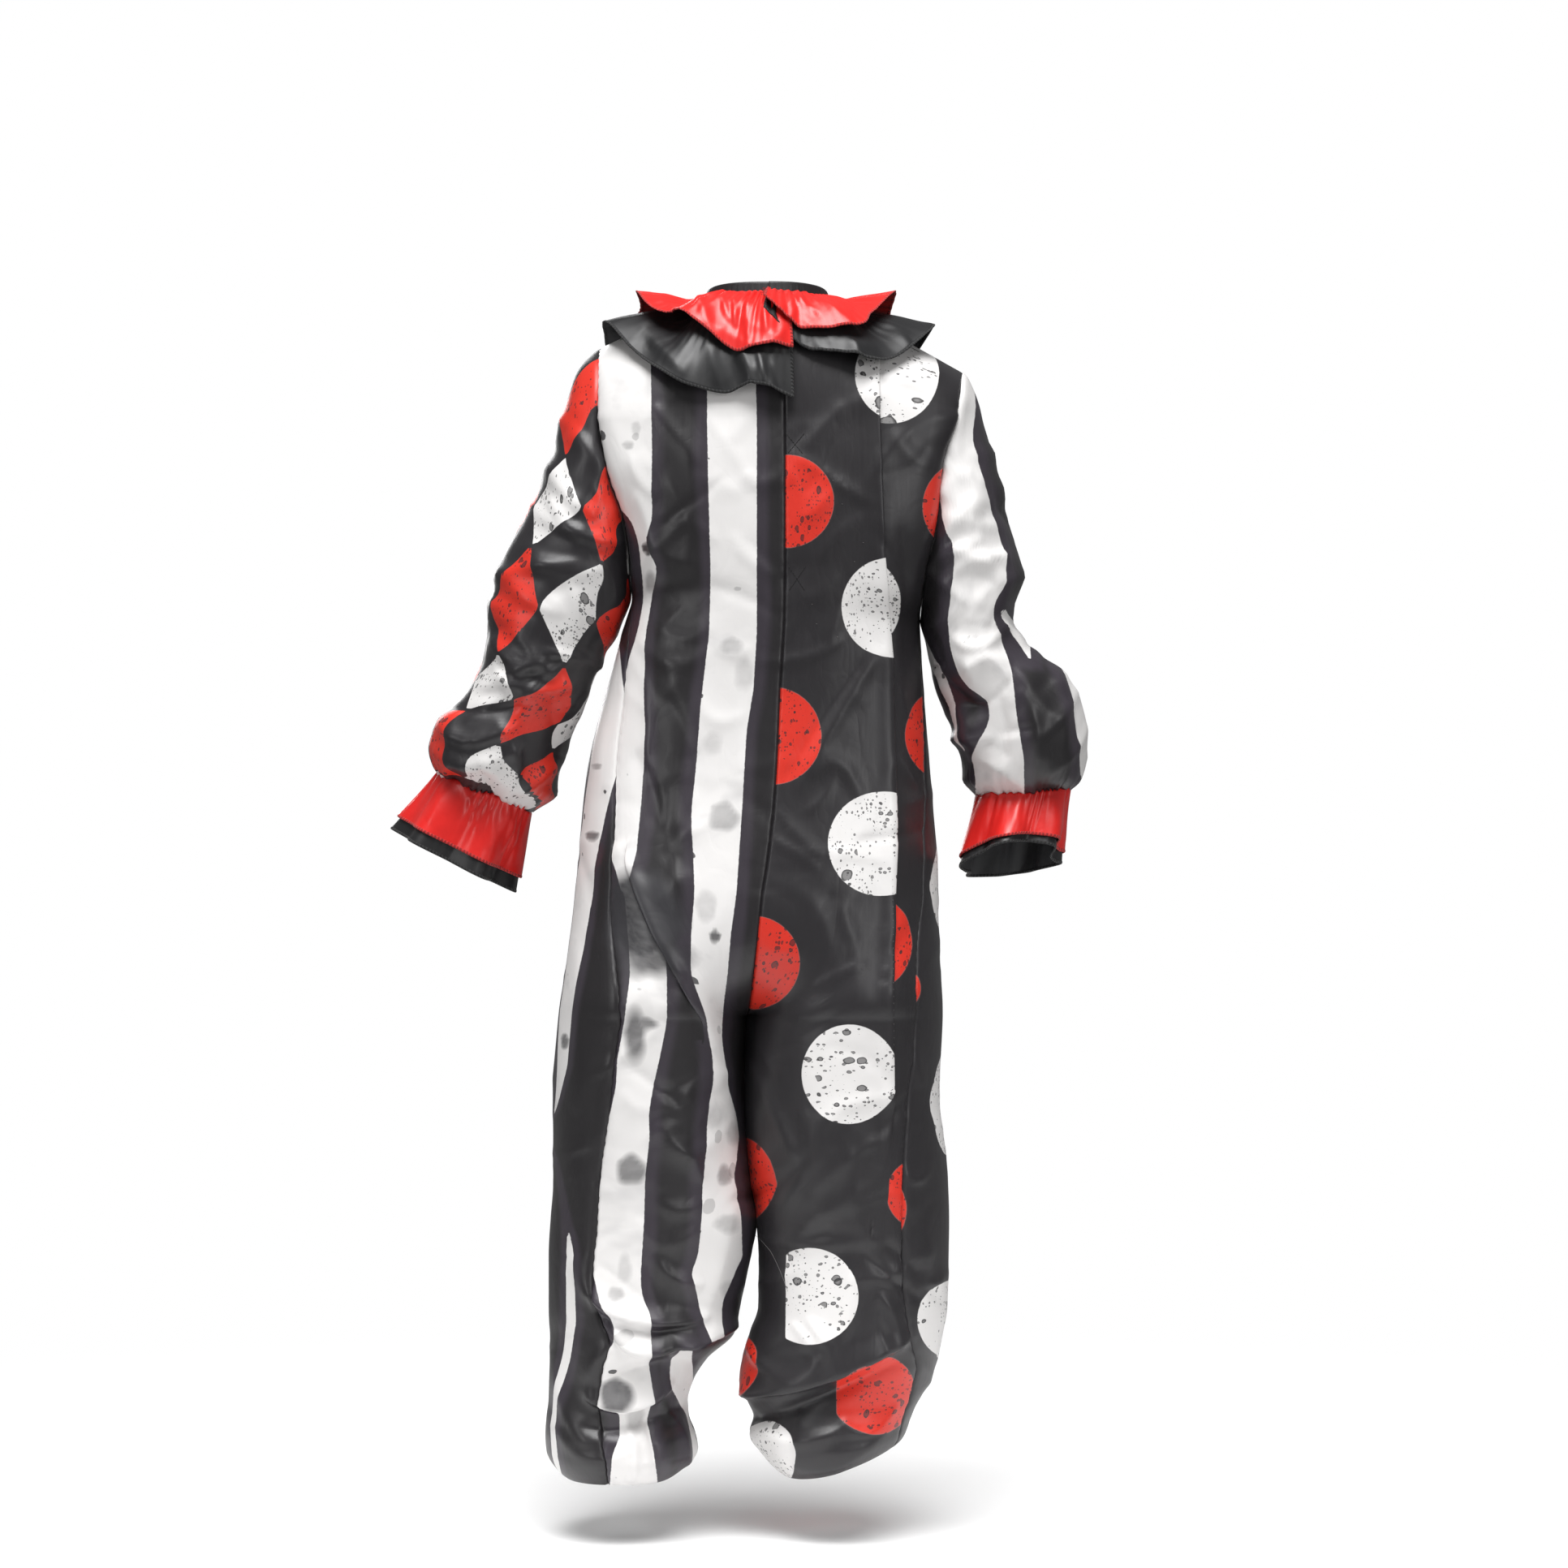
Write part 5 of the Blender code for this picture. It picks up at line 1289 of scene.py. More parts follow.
def armhole_ring(side):
    """The armhole's edge, from the shoulder tip down the back and up the front."""
    foot = next(i for i, t in enumerate(TORSO)
                if (t.arm_left if side == "left" else t.arm_right) == 0.0) + 1
    down = np.linspace(0.0, foot, ARMHOLE_SAMPLES * foot + 1)
    half = np.full((len(down), 1), 0.5)
    back = suit_points(side, half, down)[:, 0]
    front = suit_points(side, half + FRONT_EDGE, down)[:, 0]
    back[:, 0] += SIDE_SIGN[side] * ARMHOLE_STANDOFF
    front[:, 0] += SIDE_SIGN[side] * ARMHOLE_STANDOFF
    down_the_back = resample(back, SLEEVE_COLUMNS // 2 + 1)
    up_the_front = resample(front[::-1], SLEEVE_COLUMNS // 2 + 1)
    return np.concatenate([down_the_back[:-1], up_the_front[:-1]])


def lay_sleeve(side):
    """A sleeve's grid before creasing."""
    rings = [armhole_ring(side)]
    for ring in SLEEVE_RINGS[side]:
        rings.append(ring_points(*ring, SLEEVE_COLUMNS))
    table = np.array(rings).reshape(len(rings), -1)
    at = np.linspace(0, len(rings) - 1, SLEEVE_SAMPLES)
    loft = smooth_rows(table, at).reshape(len(at), SLEEVE_COLUMNS, 3)
    run = runs(loft, 0).mean(axis=1)
    levels = np.interp(np.linspace(0, run[-1], int(run[-1] / SLEEVE_STEP) + 1), run, at)
    grid = smooth_rows(table, levels).reshape(len(levels), SLEEVE_COLUMNS, 3)
    share = np.linspace(0, 1, len(grid))[1:-1, None, None]
    ease = np.clip(np.minimum(share / SLEEVE_EASE, (GATHERS_START - share) / SLEEVE_EASE), 0, 1)
    for _ in range(SLEEVE_SMOOTHING):
        grid[1:-1] += ease * (grid[:-2] - 2 * grid[1:-1] + grid[2:]) / 4
    return grid


def gather_waves(columns, count, phase):
    """Uneven gathers round an edge, -1 to 1."""
    angle = np.arange(columns) * tau / columns
    warped = angle + 0.16 * np.sin(3 * angle + phase) + 0.07 * np.sin(7 * angle + 2 * phase)
    return np.sin(count * warped) * (0.72 + 0.28 * np.sin(5 * angle + phase))


def tube_normals(grid):
    """Unit normals of a tube, pointing away from its middle."""
    normals = grid_normals(grid, closed=True)
    return normals * np.sign(((grid - grid.mean(axis=1, keepdims=True)) * normals).sum())


def turn_in(creased, grid, normals):
    """Turns a tube's first edge into the seam it is sewn to."""
    creased[0] -= SEAM_ALLOWANCE * (grid[1] - grid[0]) / np.linalg.norm(grid[1] - grid[0], axis=1)[:, None]
    creased[0] -= normals[0] * SEAM_TUCK


def make_sleeve(side, paint, satin):
    """A finished sleeve: laid, creased, gathered, printed and given its thickness."""
    grid = lay_sleeve(side)
    normals = tube_normals(grid)
    white, red, blot = paint(grid)
    creased = crease_cloth(grid, normals, SLEEVE_CREASES[side], SLEEVE_CREASING)
    run = runs(grid, 0)
    gathered = np.exp((run - run[-1]) / (GATHER_REACH * 0.5))
    waves = gather_waves(SLEEVE_COLUMNS, GATHERS, GATHER_PHASE[side])
    creased = creased + normals * (GATHER_HEIGHT * gathered * waves)[..., None]
    creased = dip_seams(creased, normals, run)
    turn_in(creased, grid, normals)
    piece = cloth_piece(f"sleeve_{side}", (satin, PRINT_BACK), creased, True, -SIDE_SIGN[side])
    add_print(piece, white, red, blot)


# Where diamonds' middles are seen: their places round and down the sleeve, then x and z
DIAMOND_PLACES = [(0, 0, 172, -272), (0, -1, 147, -190), (-1, -1, 182, -172), (-1, -2, 167, -92),
                  (-1, 0, 227, -265), (0, 1, 206, -365), (-1, 1, 259, -355), (-1, 2, 292, -402),
                  (0, 2, 243, -424), (1, 0, 129, -280)]
DIAMOND_SIZE = (60.0, 100.0)   # across and down, where the sleeve lies flat


def paint_diamonds(grid):
    """A harlequin lattice that follows the sleeve: red and white diamonds by turns on black. It
    meets itself unevenly at the underarm seam."""
    middles = grid.mean(axis=1)
    axis = unit(np.gradient(middles, axis=0))
    along = line_run(middles)[:, None] + ((grid - middles[:, None]) * axis[:, None]).sum(axis=2)
    half = SLEEVE_COLUMNS // 2
    steps = np.diff(closed_up(grid), axis=1)
    steps -= (steps * axis[:, None]).sum(axis=2, keepdims=True) * axis[:, None]
    steps = np.linalg.norm(steps, axis=2)
    around = np.zeros(grid.shape[:2])
    around[:, 1:half + 1] = np.cumsum(steps[:, :half], axis=1)
    around[:, half + 1:] = -np.cumsum(steps[:, :half:-1], axis=1)[:, ::-1]
    view = seen(grid[:, :half])
    terms = np.stack([np.ones_like(along), around, along, along * along, along * around], -1)
    found = []
    for _, _, x, z in DIAMOND_PLACES:
        gap = np.hypot(view[..., 0] - x, view[..., 1] - z)
        found.append(terms[np.unravel_index(np.argmin(gap), gap.shape)])
    places = np.array(DIAMOND_PLACES, dtype=float)[:, :2]
    fit = np.linalg.lstsq(np.array(found), places, rcond=None)[0]
    across, down = np.moveaxis(terms @ fit, -1, 0)
    column_of, row_of = np.round(across), np.round(down)
    inside = 0.5 - np.abs(across - column_of) - np.abs(down - row_of)
    width, height = DIAMOND_SIZE
    reach = inside * width * height / np.hypot(width, height)
    is_white = np.mod(column_of + row_of, 2) == 0
    far = np.full_like(reach, UNPRINTED)
    return np.where(is_white, reach, far), np.where(is_white, far, reach), np.zeros_like(reach)


# The right sleeve's stripes: z, then the edges as seen, in millimetres
MAIN_SLEEVE_STRIPE = [(-50, -171, -183), (-78, -169, -184), (-100, -164, -184), (-121, -158, -182),
                      (-157, -152, -189), (-193, -157, -202), (-222, -168, -210), (-251, -165, -210),
                      (-269, -163, -201), (-287, -162, -201), (-308, -165, -211), (-330, -171, -217),
                      (-343, -180, -219), (-353, -195, -220), (-369, -198, -222), (-387, -192, -225),
                      (-405, -184, -228), (-450, -186, -228)]
INNER_SLEEVE_STRIPE = [(-284, -132, -135), (-301, -137, -143), (-330, -148, -155), (-344, -153, -160),
                       (-366, -165, -170), (-384, -174, -178), (-398, -179, -180)]
OUTER_SLEEVE_STRIPE = [(-317, -257, -300), (-330, -261, -300), (-366, -270, -300), (-402, -277, -300),
                       (-450, -279, -300)]
ELBOW_STRIPE = [(-273, -207, -210), (-280, -207, -216), (-288, -209, -224), (-298, -216, -232),
                (-307, -225, -233), (-317, -233, -234)]
OUTER_SPILL = 14.0         # what reaches the sleeve's outer edge ends this far round it
FRONT_SLEEVE_STRIPES = (0.56, 0.80)   # where the hidden stripes lie, as shares round the sleeve
SLEEVE_BLOTS = [Blot(*row) for row in ((-187, -190, 7, 5, 0.16, 0.7), (-200, -228, 6, 4, 0.18, 0.6),
                                       (-190, -285, 7, 4, 0.15, 0.6), (-184, -300, 4, 4, 0.18, 0.6))]


def paint_sleeve_stripes(grid):
    """Stripes down the right sleeve, set out as seen behind and evenly on the hidden side."""
    view = seen(grid)
    white = np.full(view.shape[:-1], UNPRINTED)
    behind = np.arange(SLEEVE_COLUMNS)[None, :] <= SLEEVE_COLUMNS // 2
    for rows in (MAIN_SLEEVE_STRIPE, INNER_SLEEVE_STRIPE, OUTER_SLEEVE_STRIPE, ELBOW_STRIPE):
        white = np.where(behind, np.maximum(white, band_reach(view, rows)), white)
    length = runs(closed_up(grid), 1)
    share = length[:, :-1] / length[:, -1:]
    spill = np.minimum(white[:, :1], OUTER_SPILL) - (1 - share) * length[:, -1:] / MILLIMETRE
    white = np.where(behind, white, spill)
    for middle in FRONT_SLEEVE_STRIPES:
        lane = STRIPE_WIDTH / 2 - np.abs(share - middle) * length[:, -1:] / MILLIMETRE
        white = np.where(behind, white, np.maximum(white, lane))
    blot = np.where(behind, blot_darkness(view, SLEEVE_BLOTS), -1.0)
    return white, np.full_like(white, UNPRINTED), blot


make_sleeve("left", paint_diamonds, printed_shapes("diamond_satin", 0.0))
make_sleeve("right", paint_sleeve_stripes, STRIPED)


# ================================================================ wrist ruffles
# Two tubes of plain satin at each wrist, sewn on at the elastic: red outside, and a longer black
# one inside it that shows below. Their edges are overlocked with thread of the same colour.

class Cuff(NamedTuple):
    """The hem line of a wrist ruffle: outer and inner points, middle's y and half depth, how
    much higher the back edge lies, its ruffles and how far the under tier shows."""
    outer_x: float
    outer_z: float
    inner_x: float
    inner_z: float
    y: float
    depth: float
    back_rise: float
    ruffles: int
    ruffle_height: float
    phase: float
    under_shows: float


CUFFS = {
    "left": Cuff(0.3260, -0.4590, 0.2255, -0.5090, -0.040, 0.054, 0.000, 6, 0.0050, 0.4, 0.0135),
    "right": Cuff(-0.2620, -0.4870, -0.1740, -0.4960, -0.006, 0.052, 0.020, 6, 0.0050, 1.9, 0.0100),
}
CUFF_STEP = 0.0026
CUFF_SEAM = 0.0004
CUFF_COLUMNS = 220
CUFF_ROWS = 30
CUFF_GATHERS = 26
CUFF_GATHER_HEIGHT = 0.0016
CUFF_GATHER_FADE = 2.2     # how fast the gathers die out down the ruffle
UNDER_PHASE = 1.3          # the under tier's gathers lie between the upper one's
FRONT_DROP = 0.35          # the front edge drops less than the back edge rises
SERGING_WIDTH = 0.0034


def plain_satin(name, colour, shade, roughness):
    """Satin dyed through, a little lighter and darker along its threads."""
    material, tree, shader, cloth = new_satin(name, roughness)
    tones = noise(tree, cloth, 60.0, 2.0)
    tree.links.new(mixed(tree, tones, (*colour, 1.0), (*shade, 1.0)), shader.inputs["Base Color"])
    return material


def thread_material(name, colour, shade):
    """Overlock thread: fine looped stitching across the cloth's edge, matt, with painted shade: its colour
    is mixed darker in the gaps between one loop and the next.
    """
    material, tree, shader, cloth = new_material(name)
    loop_bands_painted_shade = node(tree, "TexWave", {"Vector": cloth, "Scale": 95.0, "Distortion": 2.2, "Detail": 1.0,
                                   "Detail Scale": 2.0}, bands_direction="X").outputs["Fac"]
    # painted shade: each loop takes the thread's colour, and the gaps between loop and loop take the darker
    # shade colour
    tree.links.new(mixed(tree, loop_bands_painted_shade, (*shade, 1.0), (*colour, 1.0)), shader.inputs["Base Color"])
    bump = node(tree, "Bump", {"Height": loop_bands_painted_shade, "Strength": 0.9, "Distance": 0.0006})
    tree.links.new(bump.outputs[0], shader.inputs["Normal"])
    shader.inputs["Roughness"].default_value = 0.78
    shader.inputs["Sheen Weight"].default_value = 0.08
    return material


SATINS = {
    "red": (plain_satin("red_satin", (0.78, 0.022, 0.018), (0.62, 0.014, 0.012), 0.34),
            plain_satin("red_satin_wrong_side", (0.50, 0.016, 0.014), (0.44, 0.012, 0.010), 0.6)),
    "black": (plain_satin("black_satin", (0.014, 0.014, 0.015), (0.010, 0.010, 0.011), 0.42),
              plain_satin("black_satin_wrong_side", (0.030, 0.030, 0.033), (0.022, 0.022, 0.024), 0.62)),
}
# each thread's second colour is the painted shade in the gaps between the loops of its overlocking
THREADS = {"red": thread_material("red_thread", (0.56, 0.022, 0.02), (0.26, 0.008, 0.008)),
           "black": thread_material("black_thread", (0.020, 0.020, 0.021), (0.006, 0.006, 0.006))}
# Round the overlocking's section: along the cloth and off it, in half widths and heights
SERGING_SECTION = [(1.0, 0.3), (0.6, 0.95), (0.0, 1.0), (-0.45, 0.75), (-0.7, 0.0), (-0.45, -0.75),
                   (0.0, -1.0), (0.6, -0.95), (1.0, -0.3)]
SERGING_LIFT = 0.0004      # how far it stands off the cloth


def serged_edge(name, line, inward, normals, colour, closed=True):
    """The overlocking over a cloth edge: a low rounded strip round the edge line. inward points
    into the cloth along its surface, normals away from it."""
    inward = unit(inward)
    half = SERGING_WIDTH / 2
    lift = CLOTH * 0.5 + SERGING_LIFT
    sides = [line + inward * (half * (0.35 + a)) + normals * (lift * b) for a, b in SERGING_SECTION]
    grid = np.array(sides).transpose(1, 0, 2)
    count, around = grid.shape[:2]
    run = line_run(line)
    faces = []
    uv = []
    for i in range(count if closed else count - 1):
        k = (i + 1) % count
        ahead = run[i + 1] if i + 1 < count else run[i] + np.linalg.norm(line[0] - line[-1])
        for j in range(around):
            m = (j + 1) % around
            faces.append((i * around + j, i * around + m, k * around + m, k * around + j))
            side_a, side_b = j * SERGING_WIDTH / 4, (j + 1) * SERGING_WIDTH / 4
            uv += [(run[i], side_a), (run[i], side_b), (ahead, side_b), (ahead, side_a)]
    if not closed:
        faces.append(tuple(range(around))[::-1])
        faces.append(tuple((count - 1) * around + j for j in range(around)))
        uv += [(0.0, 0.0)] * (2 * around)
    return new_piece(name, [THREADS[colour]], grid.reshape(-1, 3).tolist(), faces, uv)


CUFF_CREASES = {
    "left": crease_set([
        (272, -424, 262, -446, 258, -470, 4, 2.4),
        (250, -436, 244, -462, 246, -486, 5, 2.6),
        (232, -448, 226, -474, 228, -500, 7, 4.0),
        (290, -420, 292, -444, 300, -462, 6, 2.2),
    ]),
    "right": crease_set([
        (-196, -440, -192, -462, -186, -486, 6, 2.4),
        (-226, -438, -222, -456, -226, -474, 5, 1.8),
        (-252, -438, -256, -456, -262, -480, 6, 2.2),
    ]),
}
CUFF_CREASING = 0.8


def make_cuff(side, colour):
    """A finished wrist ruffle with its overlocked edge."""
    cuff = CUFFS[side]
    wrist = SLEEVE_RINGS[side][-1]
    angle = np.arange(CUFF_COLUMNS) * tau / CUFF_COLUMNS
    start = np.array([wrist.outer_x + wrist.inner_x, 2 * wrist.y, wrist.outer_z + wrist.inner_z]) / 2
    end = np.array([cuff.outer_x + cuff.inner_x, 2 * cuff.y, cuff.outer_z + cuff.inner_z]) / 2
    length = np.linalg.norm(end - start)
    radius = abs(cuff.outer_x - cuff.inner_x) / 2
    if colour == "red":
        inset, reach = 0.0, 1.0
        phase, height = cuff.phase, 0.052
    else:
        inset, reach = CUFF_STEP, 1 + cuff.under_shows / length
        phase, height = cuff.phase + UNDER_PHASE, 0.064
    waves = gather_waves(CUFF_COLUMNS, CUFF_GATHERS, phase)
    rings = []
    for f in np.linspace(CUFF_SEAM / length, reach, CUFF_ROWS):
        mix = [a + (b - a) * f for a, b in zip(wrist, cuff[:6])]
        wave = cuff.ruffle_height / radius * np.cos(cuff.ruffles * angle + cuff.phase)
        gather = CUFF_GATHER_HEIGHT / radius * waves * np.exp(-f * CUFF_GATHER_FADE)
        ring = ring_points(*mix, CUFF_COLUMNS, 1.0 + f * wave + gather - inset / radius)
        ring[:, 2] += f * cuff.back_rise * np.where(angle < pi, 1.0, FRONT_DROP) * np.sin(angle)
        rings.append(ring)
    grid = np.array(rings)
    normals = tube_normals(grid)
    creases = CUFF_CREASES[side] if colour == "red" else crease_set([])
    creased = crease_cloth(grid, normals, creases, CUFF_CREASING)
    turn_in(creased, grid, normals)
    piece = cloth_piece(f"cuff_{colour}_{side}", SATINS[colour], creased, True,
                        -SIDE_SIGN[side])
    edge = serged_edge(f"cuff_{colour}_{side}_serging", creased[-1], creased[-2] - creased[-1],
                       normals[-1], colour)


for side in ("left", "right"):
    make_cuff(side, "red")
    make_cuff(side, "black")


# ================================================================ neck band
# A narrow stand of black satin folded over the neck seam, open at the centre back, where its
# right end laps over its left.

BAND_HEIGHT = 0.0108
BAND_LEAN = 0.002
BAND_SEAM = 0.0015
BAND_COLUMNS = 320
BAND_ROWS = 8
RIGHT_END = -2.0           # degrees round the neck, where the band and the ruffles end
LEFT_END = -378.0
LAP_FULL = -21.0
LAP_FADE = 25.0
LAP_RISE = 0.0010
LAP_OUT = 0.0017
LAP_TUCK = 0.08            # share of its height that the upper end is lower


def lap(degrees_round):
    """1 where the right end lies over the left one, falling to 0 beyond."""
    return np.clip(1 - (LAP_FULL - degrees_round) / LAP_FADE, 0, 1)


def level_direction(degrees_round):
    """The level direction away from the neck's middle."""
    azimuth = np.radians(degrees_round)
    return np.stack([np.sin(azimuth), np.cos(azimuth), np.zeros_like(azimuth)], -1)


turn = np.linspace(RIGHT_END, LEFT_END, BAND_COLUMNS)
rows = []
for f in np.linspace(0, 1, BAND_ROWS):
    row = neck_point(np.radians(turn))
    # the lower edge is pulled in and out a little by its stitches
    pull = 0.0003 * np.sin(turn * 1.9) + 0.00022 * np.sin(turn * 4.3 + 1)
    row = row + level_direction(turn) * (LAP_OUT * lap(turn) - BAND_LEAN * f + pull * (1 - f))[:, None]
    row[:, 2] += BAND_SEAM + f * BAND_HEIGHT * (1 - LAP_TUCK * lap(turn)) + LAP_RISE * lap(turn)
    rows.append(row)
band = cloth_piece("neck_band", SATINS["black"], np.array(rows))


# ================================================================ neck ruffles
# Two tiers of plain satin gathered into the neck seam, red over a longer black one, open at the
# centre back, where the right ends lap over the left. Their edges are overlocked.

# At an azimuth in degrees from centre back towards the wearer's left, how deep the two ruffles
# are over the cloth from the neck seam, and how far each tier's edge stands off the suit
RUFFLE_EDGES = [
    # azimuth red    black  red_l  black_l
    (-2.0, 0.030, 0.036, 0.006, 0.005),
    (-20.0, 0.050, 0.060, 0.008, 0.006),
    (-38.0, 0.062, 0.078, 0.010, 0.007),
    (-48.0, 0.065, 0.090, 0.012, 0.008),
    (-58.0, 0.052, 0.092, 0.018, 0.010),
    (-75.0, 0.044, 0.086, 0.023, 0.014),
    (-90.0, 0.042, 0.080, 0.019, 0.014),
    (-110.0, 0.050, 0.086, 0.015, 0.010),
    (-135.0, 0.068, 0.096, 0.014, 0.010),
    (-180.0, 0.070, 0.100, 0.011, 0.008),
    (-225.0, 0.068, 0.096, 0.014, 0.010),
    (-250.0, 0.050, 0.086, 0.015, 0.010),
    (-270.0, 0.042, 0.080, 0.019, 0.014),
    (-285.0, 0.044, 0.078, 0.023, 0.014),
    (-300.0, 0.050, 0.086, 0.024, 0.010),
    (-315.0, 0.048, 0.093, 0.016, 0.008),
    (-330.0, 0.056, 0.103, 0.010, 0.006),
    (-343.0, 0.066, 0.102, 0.008, 0.006),
    (-352.0, 0.072, 0.098, 0.007, 0.006),
    (-378.0, 0.068, 0.107, 0.006, 0.005),
]
RUFFLE_WAVES = 9
RUFFLE_WAVE_HEIGHT = 0.0055
RUFFLE_STEP = 0.0038
SEAM_SHARE = 0.5
RUFFLE_STAND = 0.0022
RUFFLE_SEAM_OUT = 0.0018
SEAM_WALL = 0.0012
RUFFLE_COLUMNS = 460
RUFFLE_ROWS = 40
RUFFLE_ROW_GROWTH = 1.15   # the rows lie closer at the seam
RUFFLE_CREASING = 1.4      # how far the ruffles' creases stand out, against their table
RUFFLE_SMOOTHING = 9
RUFFLE_GATHERS = 66
RUFFLE_GATHER_HEIGHT = 0.0027
RUFFLE_GATHER_REACH = 0.026
RUFFLE_GATHER_START = 0.004
SEAM_LEAVING = 0.40        # share of the ruffle over which it leaves the seam's direction
CHEST_MIDDLE = (-0.010, 0.0, -0.150)
CHEST_ROWS = 61
CHEST_COLUMNS = 91
CHEST_LEVELS = 5.0
DRAPE_REACH = 0.6
DRAPE_TURN = radians(95)
DRAPE_RAYS = 96

RUFFLE_CREASES = {
    "red": crease_set([
        (40, 4, 36, -8, 32, -20, 3.5, 2.2),
        (29, 1, 28, -10, 27, -24, 3.0, 2.4),
        (14, -1, 17, -16, 17, -34, 3.5, 2.6),
        (4, -2, 2, -14, 0, -28, 3.5, 2.4),
        (96, 2, 84, -6, 70, -18, 6, 2.0),
        (62, 6, 54, -12, 48, -34, 5, 2.2),
        (-40, 4, -60, -8, -76, -20, 6, 2.0),
        (-24, 4, -34, -4, -48, -12, 4, 1.8),
    ]),
    "black": crease_set([
        (110, -24, 90, -44, 72, -66, 7, 2.2),
        (24, -40, 18, -56, 14, -74, 6, 3.0),
        (8, -44, 4, -60, 2, -72, 4, 2.4),
        (52, -36, 46, -56, 42, -76, 7, 2.2),
        (-68, -28, -76, -40, -84, -52, 6, 1.8),
        (-104, -14, -116, -30, -126, -40, 7, 2.0),
    ]),
}
RUFFLE_CREASES["red"]["back"] += scattered_creases(120, -120, 6, -60, 26, 31, 1.5)
RUFFLE_CREASES["red"]["front"] += scattered_creases(120, -120, 6, -110, 26, 32, 1.5)
RUFFLE_CREASES["black"]["back"] += scattered_creases(150, -150, -10, -90, 34, 33, 1.8)
RUFFLE_CREASES["black"]["front"] += scattered_creases(150, -150, -20, -140, 34, 34, 1.8)


def chest_surface():
    """The whole suit's upper surface, for what lies on it."""
    vertices = []
    faces = []
    for side in ("left", "right"):
        down = np.linspace(0.0, CHEST_LEVELS, CHEST_ROWS)
        along = np.tile(np.linspace(0.0, 1.0, CHEST_COLUMNS), (CHEST_ROWS, 1))
        first = len(vertices)
        vertices += suit_points(side, along, down).reshape(-1, 3).tolist()
        for i in range(CHEST_ROWS - 1):
            for j in range(CHEST_COLUMNS - 1):
                a = first + i * CHEST_COLUMNS + j
                faces.append((a, a + 1, a + CHEST_COLUMNS + 1, a + CHEST_COLUMNS))
    return BVHTree.FromPolygons(vertices, faces)


def drape_line(surface, azimuth, lengths):
    """The points at these lengths down the suit from the neck seam at an azimuth, with the
    direction that points away from the chest's middle."""
    middle = Vector(CHEST_MIDDLE)
    start = Vector(neck_point(azimuth).tolist())
    away = start - middle
    flat = Vector((away.x, away.y, 0.0))
    heading = flat.normalized()
    top = np.arctan2(away.z, flat.length)
    points = [start]
    for tilt in np.linspace(top, top - DRAPE_TURN, DRAPE_RAYS)[1:]:
        ray = heading * cos(tilt) + Vector((0, 0, sin(tilt)))
        hit = surface.ray_cast(middle + ray * DRAPE_REACH, -ray, DRAPE_REACH)[0]
        if hit is not None:
            points.append(hit)
    line = along_line(np.array([list(point) for point in points]), lengths)
    return line, unit(line - np.array(CHEST_MIDDLE))


